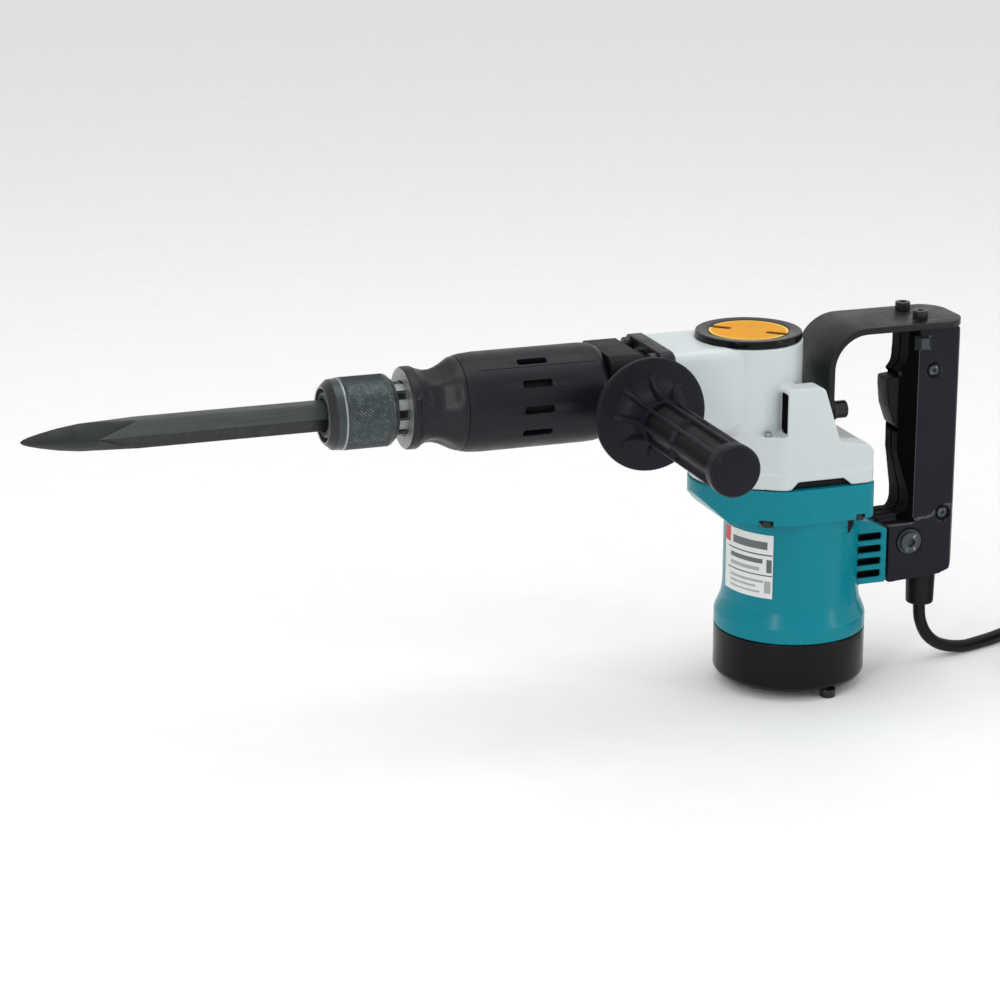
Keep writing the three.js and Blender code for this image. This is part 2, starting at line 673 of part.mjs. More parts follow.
function motorHousing() {
  const sideView = roundedShape([
    [-74, BOX_TOP_Z],
    [-74, 131],
    [-55, BOX_BOTTOM_Z],
    [60, BOX_BOTTOM_Z],
    [60, BOX_TOP_Z],
  ]);
  const plan = raised(planOutline(0), BOX_BOTTOM_Z, BOX_TOP_Z, 6);
  const topBox = plan.intersect(across(sideView, -60, 60));
  const barrelPart = turned('z', [
    [0, END_CAP_TOP_Z + GAP],
    [FLARE_R, END_CAP_TOP_Z + GAP],
    [FLARE_R, 42],
    [FLARE_R - 1.3, 47],
    [MOTOR_R + 1, 54],
    [MOTOR_R, 60],
    [MOTOR_R, BOX_BOTTOM_Z + 1],
    [0, BOX_BOTTOM_Z + 1],
  ], 32);
  const louvreBlock = across(roundedShape([
    [30, 60],
    [57.5, 60],
    [57.5, 95.3],
    [49, 99.8],
    [38, 103.4],
    [30, 103.4],
  ]), -21, 21);
  const slots = [];
  for (let i = 0; i < LOUVRES; i += 1) {
    const z = 64 + LOUVRE_PITCH * i;
    slots.push(box(36.2, -25, z, 54, -13, z + LOUVRE_HEIGHT));
    slots.push(box(36.2, 13, z, 54, 25, z + LOUVRE_HEIGHT));
  }
  const whole = cut(join(topBox, barrelPart, louvreBlock), ...slots);
  const cavity = rod('z', BORE_MOTOR_R, END_CAP_TOP_Z - 1, 113, 28);
  const bearingSeat = rod('z', 13.3, 112, 128, 24);
  const shaftHole = rod('z', 8.5, 127, BOX_TOP_Z + 1, 20);
  const gearFloor = rod('z', 9.9, 131, BOX_TOP_Z + 1, 24, [CRANK_X, 0, 0]);
  const screwHoles = Object.values(motorScrewPlaces).map(([x, y]) => {
    return rod('z', MOTOR_SCREW_HOLE_R, BOX_BOTTOM_Z - 1, BOX_TOP_Z + 1, 10, [x, y, 0]);
  });
  const headRooms = Object.values(motorScrewPlaces).map(([x, y]) => {
    return rod('z', 5.4, 100, BOX_BOTTOM_Z + 3, 16, [x, y, 0]);
  });
  const capScrewHoles = capScrewPlaces.map(([x, y]) => {
    return rod('z', MOTOR_SCREW_HOLE_R, END_CAP_TOP_Z - 1, 43, 10, [x, y, 0]);
  });
  const hollow = cut(whole, cavity, bearingSeat, shaftHole, gearFloor);
  return cut(hollow, ...screwHoles, ...headRooms, ...capScrewHoles);
}

function endCap() {
  const shell = turned('z', [
    [0, 0],
    [BASE_R, 0],
    [BASE_R + 0.6, CAP_SEAT_Z],
    [FLARE_R - 3, CAP_SEAT_Z],
    [FLARE_R - 0.9, CAP_SEAT_Z + 1.2],
    [FLARE_R, CAP_SEAT_Z + 3.6],
    [FLARE_R, END_CAP_TOP_Z],
    [BORE_MOTOR_R, END_CAP_TOP_Z],
    [BORE_MOTOR_R, 6],
    [16, 6],
    [16, 15],
    [11.4, 15],
    [11.4, 5],
    [0, 5],
  ], 32);
  const holes = capScrewPlaces.map(([x, y]) => {
    return rod('z', MOTOR_SCREW_HOLE_R, -1, END_CAP_TOP_Z + 1, 10, [x, y, 0]);
  });
  return cut(shell, ...holes);
}

add(root, 'motor_housing', motorHousing(), tealPlastic);
add(root, 'end_cap', endCap(), blackPlastic);
capScrewPlaces.forEach(([x, y], i) => {
  const body = bolt('z', 5, FLOOR_Z - CAP_SEAT_Z + GAP, 2, 40, 2.2);
  const screw = add(root, `end_cap_screw_${i + 1}`, body, sleeveSteel);
  screw.position.set(x, y, CAP_SEAT_Z - GAP);
});
for (const [place, [x, y]] of Object.entries(motorScrewPlaces)) {
  const screw = add(root, `motor_screw_${place}`, bolt('z', 4, -4, 1.9, 30, 1.8), sleeveSteel);
  screw.position.set(x, y, BOX_BOTTOM_Z + 2.7);
}

// A thin plate bent round the motor housing, between two angles measured from +X.
function ratingLabel() {
  const inner = MOTOR_R + GAP;
  const outer = inner + 0.5;
  const from = THREE.MathUtils.degToRad(LABEL_PLATE_FROM);
  const to = THREE.MathUtils.degToRad(LABEL_PLATE_TO);
  const shape = new THREE.Shape();
  shape.absarc(0, 0, outer, from, to, false);
  shape.lineTo(inner * Math.cos(to), inner * Math.sin(to));
  shape.absarc(0, 0, inner, to, from, true);
  return raised(shape, LABEL_PLATE_LOW_Z, LABEL_PLATE_HIGH_Z, 10);
}

function fieldStator() {
  const ring = tube('z', 22.4, BORE_MOTOR_R - 0.6, 42, 98, 28);
  const gaps = [-1, 1].map((side) => box(side < 0 ? -30 : 21, -13, 41, side < 0 ? -21 : 30, 13, 99));
  return cut(ring, ...gaps);
}

function armature() {
  const core = turned('z', [
    [0, 6],
    [5, 6],
    [5, 18],
    [13, 18],
    [13, 36],
    [8, 36],
    [8, 42],
    [21.5, 44],
    [21.5, 96],
    [8, 98],
    [5.5, 101],
    [5.5, 131],
    [4.2, 131],
    [4.2, 150],
    [0, 150],
  ], 20);
  return join(core, raised(gearShape(PINION_TEETH, PINION_R, 1.4), 138, 149.5));
}

function fan() {
  const hub = tube('z', 5.8, 9, 101.5, 110, 16);
  const disc = tube('z', 5.8, 36, 108, 110, 24);
  const blades = [];
  for (let i = 0; i < 8; i += 1) {
    blades.push(box(16, -0.8, 101.5, 35, 0.8, 108.5).rotate([0, 0, 45 * i]));
  }
  return join(hub, disc, ...blades);
}

add(root, 'rating_label', ratingLabel(), labelWhite);
add(root, 'field_stator', fieldStator(), laminate);
add(root, 'armature', armature(), copper);
add(root, 'fan', fan(), gripPlastic);
add(root, 'bearing_upper', tube('z', 5.8, 13, 113, 126, 20), brightSteel);
add(root, 'bearing_lower', tube('z', 5.3, 11.1, 6, 14, 20), brightSteel);
[-1, 1].forEach((side, i) => {
  const from = side < 0 ? -31.3 : 13.3;
  add(root, `carbon_brush_${i + 1}`, box(from, -4, 22, from + 18, 4, 32), carbon);
});

// ---------------------------------------------------------------- rear handle

function handleStrap() {
  const bendX = STRAP_FRONT_X + STRAP_BEND_R;
  const bendZ = STRAP_TOP_Z - STRAP_BEND_R;
  const innerR = STRAP_BEND_R - STRAP_T;
  const sideView = new THREE.Shape();
  sideView.moveTo(STRAP_FRONT_X, STRAP_FOOT_Z);
  sideView.lineTo(STRAP_FRONT_X, bendZ);
  sideView.absarc(bendX, bendZ, STRAP_BEND_R, Math.PI, Math.PI / 2, true);
  sideView.lineTo(STRAP_REAR_X, STRAP_TOP_Z);
  sideView.lineTo(STRAP_REAR_X, STRAP_TOP_Z - STRAP_T);
  sideView.lineTo(bendX, STRAP_TOP_Z - STRAP_T);
  sideView.absarc(bendX, bendZ, innerR, Math.PI / 2, Math.PI, false);
  sideView.lineTo(STRAP_FRONT_X + STRAP_T, STRAP_FOOT_Z);
  const band = across(sideView, -STRAP_HALF_Y, STRAP_HALF_Y, 8);
  const plan = raised(roundedShape([
    [0, -30],
    [STRAP_REAR_X, -STRAP_HALF_Y, 18],
    [STRAP_REAR_X, STRAP_HALF_Y, 18],
    [0, 30],
  ], 6), 150, 240);
  const topHoles = [-1, 1].map((side) => rod('z', 2.7, 220, 232, 12, [TOP_BOLT_X, side * TOP_BOLT_Y, 0]));
  const frontHoles = [-1, 1].map((side) => rod('x', 2.6, 8, 20, 12, [0, side * STRAP_BOLT_Y, STRAP_BOLT_Z]));
  return cut(band.intersect(plan), ...topHoles, ...frontHoles);
}

const gripScrewPlaces = { upper: [88, 196], lower: [98, 101] };

const gripOutline = [
  [72, 224.6, 2],
  [107, 224.6, 6],
  [GRIP_REAR_X, 64, 5],
  [97, 60, 2],
  [60, 57.5, 2],
  [60, 94, 0],
  [58.2, 95.9, 0],
  [50.8, 99.7, 0],
  [50.8, 101.4, 0],
  [76, 101.4, 8],
  [74.8, 114, 8],
  [68.2, 141, 8],
  [68.2, 191, 1],
  [66.4, 194, 1],
  [71.5, 199.5, 2],
  [72.2, 207, 4],
];

// One half of the grip, on the side of y given by its sign, open towards the other half.
function gripShell(side) {
  const inner = side < 0 ? -GAP / 2 : GAP / 2;
  const outer = side * GRIP_HALF_Y;
  const outline = roundedShape(gripOutline, 3);
  const block = across(outline, Math.min(inner, outer), Math.max(inner, outer));
  const deep = side * (GRIP_HALF_Y - GRIP_WALL);
  const room = (x0, z0, x1, z1) => box(x0, Math.min(0, deep), z0, x1, Math.max(0, deep), z1);
  const rooms = join(room(79.5, 90, 103.3, 221), room(66, 69, 103.3, 91));
  const bevelCut = raised(new THREE.Shape([
    new THREE.Vector2(44, side * (GRIP_HALF_Y + 1)),
    new THREE.Vector2(44, side * BEVEL_Y),
    new THREE.Vector2(69, side * BEVEL_Y),
    new THREE.Vector2(80, side * (GRIP_HALF_Y + 1)),
  ]), BRACKET_TOP_Z, 226);
  const slotY = TRIGGER_HALF_Y + 0.6;
  const triggerSlot = box(40, -slotY, 154.5, 81, slotY, 194.2);
  const guardHole = join(
    rod('z', 10.4, 50, 70, 20, [GUARD_X, 0, 0]),
    rod('z', 12.9, 65.6, 68.9, 20, [GUARD_X, 0, 0]),
  );
  const screwHoles = Object.values(gripScrewPlaces).map(([x, z]) => {
    return join(rod('y', 1.9, -20, 20, 10, [x, 0, z]), rod('y', 3.6, -20, -15.5, 16, [x, 0, z]));
  });
  const bracketHole = rod('y', 3.2, -20, 20, 12, [BRACKET_BOLT_X, 0, BRACKET_BOLT_Z]);
  const topHoles = rod('z', 2.7, 200, 226, 12, [TOP_BOLT_X, side * TOP_BOLT_Y, 0]);
  const body = cut(block, bevelCut, rooms, triggerSlot, guardHole, bracketHole, topHoles);
  return cut(body, ...screwHoles);
}

function trigger() {
  const shape = roundedShape([
    [60.2, 190.5, 2],
    [74, 192, 1],
    [81, 190, 1],
    [81, 158, 2],
    [69.5, 156.5, 1],
    [66, 159.5, 3],
    [61.6, 172, 6],
    [60.4, 184, 6],
  ]);
  return across(shape, -TRIGGER_HALF_Y, TRIGGER_HALF_Y);
}

add(root, 'handle_strap', handleStrap(), strapPaint);
add(root, 'grip_shell_left', gripShell(-1), gripPlastic);
add(root, 'grip_shell_right', gripShell(1), gripPlastic);
add(root, 'trigger', trigger(), blackPlastic);
add(root, 'switch_body', box(86, -11, 152, 101, 11, 194), gripPlastic);
[['left', -1], ['right', 1]].forEach(([name, side]) => {
  const top = add(root, `strap_top_bolt_${name}`, bolt('z', 4.8, 5.5, 2.3, -18, 2.4), sleeveSteel);
  top.position.set(TOP_BOLT_X, side * TOP_BOLT_Y, STRAP_TOP_Z + GAP);
  const front = add(root, `strap_front_bolt_${name}`, bolt('x', 5.6, 10, 2.2, -14, 2.6), sleeveSteel);
  front.position.set(STRAP_FRONT_X + STRAP_T + GAP, side * STRAP_BOLT_Y, STRAP_BOLT_Z);
  const bracketBolt = bolt('y', 6.4, side * 2.4, 2.8, side * -17.6, 3);
  const bracket = add(root, `bracket_bolt_${name}`, bracketBolt, sleeveSteel);
  bracket.position.set(BRACKET_BOLT_X, side * (GRIP_HALF_Y + GAP), BRACKET_BOLT_Z);
});
for (const [name, [x, z]] of Object.entries(gripScrewPlaces)) {
  const screw = add(root, `grip_screw_${name}`, bolt('y', 3.2, -2, 1.5, 26, 1.5), sleeveSteel);
  screw.position.set(x, -15.8, z);
}

// ---------------------------------------------------------------- side handle

function sideClamp() {
  const outline = roundedShape([
    [-CLAMP_HALF, -CLAMP_HALF, 9],
    [CLAMP_HALF, -CLAMP_HALF, 3],
    [CLAMP_HALF, CLAMP_HALF, 3],
    [-CLAMP_HALF, CLAMP_HALF, 9],
  ]);
  const block = along(outline, -CLAMP_HALF_X, CLAMP_HALF_X);
  const neck = rod('y', CLAMP_HALF_X, DISC_Y + GAP, -CLAMP_HALF + 2, 24);
  const bore = rod('x', SEAT_R + 0.4, -20, 20, 40);
  const split = box(-20, -3, -CLAMP_HALF - 1, 20, 3, -15);
  const studHole = rod('y', STUD_R + 0.4, DISC_Y, -CLAMP_HALF - 10, 16);
  return cut(join(block, neck), bore, split, studHole);
}

function sideGrip() {
  const core = turned('y', [
    [4.6, GRIP_END_Y + 10],
    [10.5, GRIP_END_Y + 10],
    [11.5, DISC_Y - 40],
    [14, DISC_Y - 16],
    [20, DISC_Y - 3.5],
    [DISC_R - 0.6, DISC_Y - 3.5],
    [DISC_R, DISC_Y - 2],
    [DISC_R, DISC_Y],
    [4.6, DISC_Y],
  ], 28);
  const end = turned('y', [
    [0, GRIP_END_Y],
    [14, GRIP_END_Y],
    [15.4, GRIP_END_Y + 1.5],
    [15.4, GRIP_END_Y + 11],
    [0, GRIP_END_Y + 11],
  ], 24);
  const middle = tube('y', 9, 14.8, -128, -125, 20);
  const ribs = [];
  for (let i = 0; i < SIDE_GRIP_RIBS; i += 1) {
    const rib = box(9, GRIP_END_Y + 9, -1.2, 15, DISC_Y - 10, 1.2);
    ribs.push(rib.rotate([0, (360 * i) / SIDE_GRIP_RIBS, 0]));
  }
  return join(core, end, middle, ...ribs);
}

add(sideHandle, 'side_clamp', sideClamp(), blackPlastic);
add(sideHandle, 'clamp_stud', rod('y', STUD_R, DISC_Y - 100, -CLAMP_HALF - 11, 16), brightSteel);
add(sideHandle, 'side_grip', sideGrip(), gripPlastic);

// ---------------------------------------------------------------- mains cord

add(root, 'cord_guard', turned('z', [
  [0, GUARD_END_Z],
  [9, GUARD_END_Z],
  [9.7, 57],
  [9.7, 66],
  [12.5, 66.5],
  [12.5, 68.5],
  [0, 68.5],
], 24, [GUARD_X, 0, 0]), cordRubber);

// The cord from the guard down to the surface and across it to the coil.
const cordRoute = [
  [GUARD_X, 0, GUARD_END_Z - GAP],
  [GUARD_X, 0, 32],
  [94.2, 0.1, 23],
  [99, 0.6, 13],
  [107, 1.5, 5.6],
  [118, 2.9, 1.2],
  [130, 4.8, CORD_Z],
  [142, 8.2, CORD_Z],
  [154, 12.6, CORD_Z],
  [166, 18.1, CORD_Z],
  [178, JOIN_Y - 0.3, CORD_Z],
  [COIL_X - LEAD_IN - GAP, JOIN_Y, CORD_Z],
];

function cordTube() {
  const points = cordRoute.map((p) => new THREE.Vector3(...p));
  const path = new THREE.CatmullRomCurve3(points, false, 'centripetal');
  const section = polygonShape(10, CORD_D * 0.98);
  return solid(new THREE.ExtrudeGeometry(section, { steps: 16, bevelEnabled: false, extrudePath: path }));
}

function tieFrame(outset) {
  const low = FLOOR_Z - 1 + (outset ? 0 : 1);
  const from = COIL_X - COIL_OUTER_R + 0.3 - outset;
  const to = COIL_X - COIL_OUTER_R + BUNDLE - 0.3 + outset;
  const top = FLOOR_Z + BUNDLE - 0.3 + outset;
  const outer = box(from, COIL_Y - TIE_HALF - outset, low, to, COIL_Y + TIE_HALF + outset, top);
  const thick = TIE_T + 2 * outset;
  const bottom = FLOOR_Z + TIE_T + outset;
  const inner = box(from + thick, COIL_Y - 20, bottom, to - thick, COIL_Y + 20, top - thick);
  return cut(outer, inner);
}

function cordCoil() {
  const inner = COIL_OUTER_R - BUNDLE;
  const low = FLOOR_Z;
  const high = FLOOR_Z + BUNDLE;
  const edge = 3;
  const ring = turned('z', [
    [inner, low + edge],
    [inner + edge, low],
    [COIL_OUTER_R - edge, low],
    [COIL_OUTER_R, low + edge],
    [COIL_OUTER_R, high - edge],
    [COIL_OUTER_R - edge, high],
    [inner + edge, high],
    [inner, high - edge],
  ], 32, [COIL_X, COIL_Y, 0]);
  const leadIn = rod('x', CORD_D / 2.1, COIL_X - LEAD_IN + GAP, COIL_X, 9, [0, JOIN_Y, CORD_Z + 0.1]);
  const tail = rod('y', CORD_D / 2.1, COIL_Y - TAIL + GAP, COIL_Y, 9, [TAIL_X, 0, PLUG_Z]);
  return cut(join(ring, leadIn, tail), tieFrame(GAP));
}

function plug() {
  const rear = COIL_Y - TAIL;
  const body = turned('y', [
    [0, rear],
    [6, rear],
    [7.5, rear - 12],
    [PLUG_R - 0.5, rear - 17],
    [PLUG_R, rear - 20],
    [PLUG_R, rear - 42],
    [0, rear - 42],
  ], 20, [TAIL_X, 0, PLUG_Z]);
  const pins = [-1, 1].map((side) => {
    return rod('y', 2.4, rear - 61, rear - 41, 12, [TAIL_X + side * 9.5, 0, PLUG_Z]);
  });
  return join(body, ...pins);
}

add(root, 'cord', cordTube(), cordRubber);
add(root, 'cord_coil', cordCoil(), cordRubber);
add(root, 'cord_tie', tieFrame(0), tieRubber);
add(root, 'plug', plug(), cordRubber);

export default root;
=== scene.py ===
"""Electric demolition hammer: camera, cord, detailed pieces, materials and studio.

Shapes are in mm and the scene is in metres. The frame is the CAD model's: the chisel points along -X, the
side grip along -Y, the D-handle is at +X, and the motor's axis is x = y = 0.
"""
import math

import bmesh
import bpy
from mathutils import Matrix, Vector


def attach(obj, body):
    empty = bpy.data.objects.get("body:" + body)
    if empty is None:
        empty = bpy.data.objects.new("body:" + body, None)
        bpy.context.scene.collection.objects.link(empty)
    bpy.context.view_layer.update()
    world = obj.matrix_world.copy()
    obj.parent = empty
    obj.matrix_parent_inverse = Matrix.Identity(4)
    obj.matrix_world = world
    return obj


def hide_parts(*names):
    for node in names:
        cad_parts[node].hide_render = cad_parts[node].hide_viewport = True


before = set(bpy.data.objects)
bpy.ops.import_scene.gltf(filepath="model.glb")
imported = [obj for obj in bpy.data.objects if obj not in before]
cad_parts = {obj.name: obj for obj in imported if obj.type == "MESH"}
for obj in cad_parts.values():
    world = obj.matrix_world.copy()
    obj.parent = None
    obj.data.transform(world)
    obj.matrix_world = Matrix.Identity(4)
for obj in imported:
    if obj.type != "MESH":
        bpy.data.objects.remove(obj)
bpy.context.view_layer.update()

MM = 0.001
PI = math.pi
BARREL_Z = 198.0  # height of the barrel's axis
CRANK_X = -33.0  # the crankshaft's axis
FLOOR_Z = -4.6  # the end cap's screw heads stand on the floor
GRIP_X = -123.0  # the side grip's axis

# chisel: its ground point is given as (x, half the width across the ground faces)
HEX_FLATS = 17.0
CHISEL_TIP_X = -490.0
CHISEL_REAR_X = -264.2
POINT_PROFILE = ((-490, 0.5), (-488, 1.4), (-484.8, 2.2), (-478.3, 3.4), (-468, 4.9), (-447, 6.9),
                 (-430, 8.6), (-415, 10.2))

# fasteners: (x, y), (y, z) or (x, z) of their axes
MOTOR_SCREWS = {"left_front": (-34, -37.5), "left_rear": (26, -41.5), "right_front": (-34, 37.5),
                "right_rear": (26, 41.5)}
CAP_SCREW_R = 42.8
CAP_SCREWS = [(CAP_SCREW_R * math.cos(math.radians(turn)), CAP_SCREW_R * math.sin(math.radians(turn)))
              for turn in (-77.6, 30, 130)]
BOLT_PITCH = 22.0  # flange bolts from the barrel's axis, each way
LEDGE_SCREW = (-34.5, -37)
TOP_BOLT_X = 79.0  # bolts through the strap's top into the grip
TOP_BOLT_Y = 12.5
SEAT_BOLT_Y = 19.0  # bolts through the strap's front leg into the gear housing
SEAT_BOLT_Z = 177.0
BRACKET_BOLT = (75, 84)
GRIP_SCREWS = {"upper": (88, 196), "lower": (98, 101)}
SIDES = (("left", -1), ("right", 1))

# ---------------------------------------------------------------- camera


def make_camera():
    data = bpy.data.cameras.new("camera")
    data.lens = 111.42
    data.sensor_width = 36
    camera = bpy.data.objects.new("camera", data)
    bpy.context.scene.collection.objects.link(camera)
    camera.location = (-0.79373, -1.71501, 0.68921)
    aim = Vector((-0.1965, 0, 0.1340)) - camera.location
    camera.rotation_euler = aim.to_track_quat("-Z", "Y").to_euler()
    bpy.context.scene.camera = camera


make_camera()

# ---------------------------------------------------------------- materials


def nodes_of(name):
    material = bpy.data.materials.new(name)
    material.use_nodes = True
    tree = material.node_tree
    return material, tree, tree.nodes["Principled BSDF"]


def texture_place(tree, stretch=(1, 1, 1)):
    coord = tree.nodes.new("ShaderNodeTexCoord")
    mapping = tree.nodes.new("ShaderNodeMapping")
    mapping.inputs["Scale"].default_value = stretch
    tree.links.new(coord.outputs["Object"], mapping.inputs["Vector"])
    return mapping.outputs["Vector"]


def noise(tree, place, scale, detail=3.0, rough=0.55):
    node = tree.nodes.new("ShaderNodeTexNoise")
    node.inputs["Scale"].default_value = scale
    node.inputs["Detail"].default_value = detail
    node.inputs["Roughness"].default_value = rough
    tree.links.new(place, node.inputs["Vector"])
    return node.outputs["Fac"]


def spread(tree, value, low, high, out_low, out_high):
    node = tree.nodes.new("ShaderNodeMapRange")
    for socket, number in zip(("From Min", "From Max", "To Min", "To Max"), (low, high, out_low, out_high)):
        node.inputs[socket].default_value = number
    tree.links.new(value, node.inputs["Value"])
    return node.outputs["Result"]


def blend_colours(tree, value, first, second):
    node = tree.nodes.new("ShaderNodeMix")
    node.data_type = "RGBA"
    for socket, colour in ((6, first), (7, second)):
        if isinstance(colour, tuple):
            node.inputs[socket].default_value = (*colour, 1)
        else:
            tree.links.new(colour, node.inputs[socket])
    tree.links.new(value, node.inputs[0])
    return node.outputs[2]


def math_node(tree, operation, first, second):
    node = tree.nodes.new("ShaderNodeMath")
    node.operation = operation
    for socket, value in ((0, first), (1, second)):
        if isinstance(value, (int, float)):
            node.inputs[socket].default_value = value
        else:
            tree.links.new(value, node.inputs[socket])
    return node.outputs[0]


def bumps(tree, shader, layers):
    """Bump layers (height socket, strength, depth in mm), each on top of the last."""
    normal = None
    for height, strength, depth in layers:
        node = tree.nodes.new("ShaderNodeBump")
        node.inputs["Strength"].default_value = strength
        node.inputs["Distance"].default_value = depth * MM
        tree.links.new(height, node.inputs["Height"])
        if normal is not None:
            tree.links.new(normal, node.inputs["Normal"])
        normal = node.outputs["Normal"]
    tree.links.new(normal, shader.inputs["Normal"])


def finish(name, colour, rough, metal=0.0, vary=0.12, rough_vary=0.08, grain=1400, grain_depth=0.04,
           ripple=120, ripple_depth=0.03, wear=None, wear_from=0.54, streak=None, stain=None, coat=0.0,
           shine=0.5):
    """A procedural finish: uneven colour and gloss, fine grain over ripples, wear, streaks and stains."""
    material, tree, shader = nodes_of(name)
    place = texture_place(tree)
    dark = tuple(c * (1 - vary) for c in colour)
    light = tuple(min(1, c * (1 + vary) + 0.1 * vary * max(colour)) for c in colour)
    mottle = noise(tree, place, 38, 4)
    look = blend_colours(tree, spread(tree, mottle, 0.3, 0.7, 0, 1), dark, light)
    smudge = noise(tree, place, 75, 5, 0.65)
    gloss = spread(tree, smudge, 0.3, 0.7, rough - rough_vary, rough + rough_vary)
    layers = [(noise(tree, place, ripple, 2), 0.5, ripple_depth),
              (noise(tree, place, grain, 3), 0.6, grain_depth)]
    if streak:
        lines = noise(tree, texture_place(tree, streak), 1, 3, 0.7)
        look = blend_colours(tree, spread(tree, lines, 0.35, 0.65, 0, 0.55), look,
                             tuple(c * 0.55 for c in colour))
        gloss = math_node(tree, "ADD", gloss, spread(tree, lines, 0.3, 0.7, -0.08, 0.08))
        layers.append((lines, 0.5, 0.04))
    if stain:
        patch = spread(tree, noise(tree, place, 55, 6, 0.7), 0.56, 0.72, 0, 0.55)
        look = blend_colours(tree, patch, look, stain)
        gloss = math_node(tree, "ADD", gloss, math_node(tree, "MULTIPLY", patch, 0.3))
    if wear:
        geometry = tree.nodes.new("ShaderNodeNewGeometry")
        edge = spread(tree, geometry.outputs["Pointiness"], wear_from, wear_from + 0.08, 0, 1)
        chips = spread(tree, noise(tree, place, 260, 5, 0.7), 0.46, 0.62, 0, 1)
        worn = math_node(tree, "MULTIPLY", edge, chips)
        look = blend_colours(tree, worn, look, wear)
        gloss = math_node(tree, "ADD", gloss, math_node(tree, "MULTIPLY", worn, 0.12))
    tree.links.new(look, shader.inputs["Base Color"])
    tree.links.new(gloss, shader.inputs["Roughness"])
    shader.inputs["Metallic"].default_value = metal
    shader.inputs["Coat Weight"].default_value = coat
    shader.inputs["Coat Roughness"].default_value = 0.12
    shader.inputs["Specular IOR Level"].default_value = shine
    bumps(tree, shader, layers)
    return material


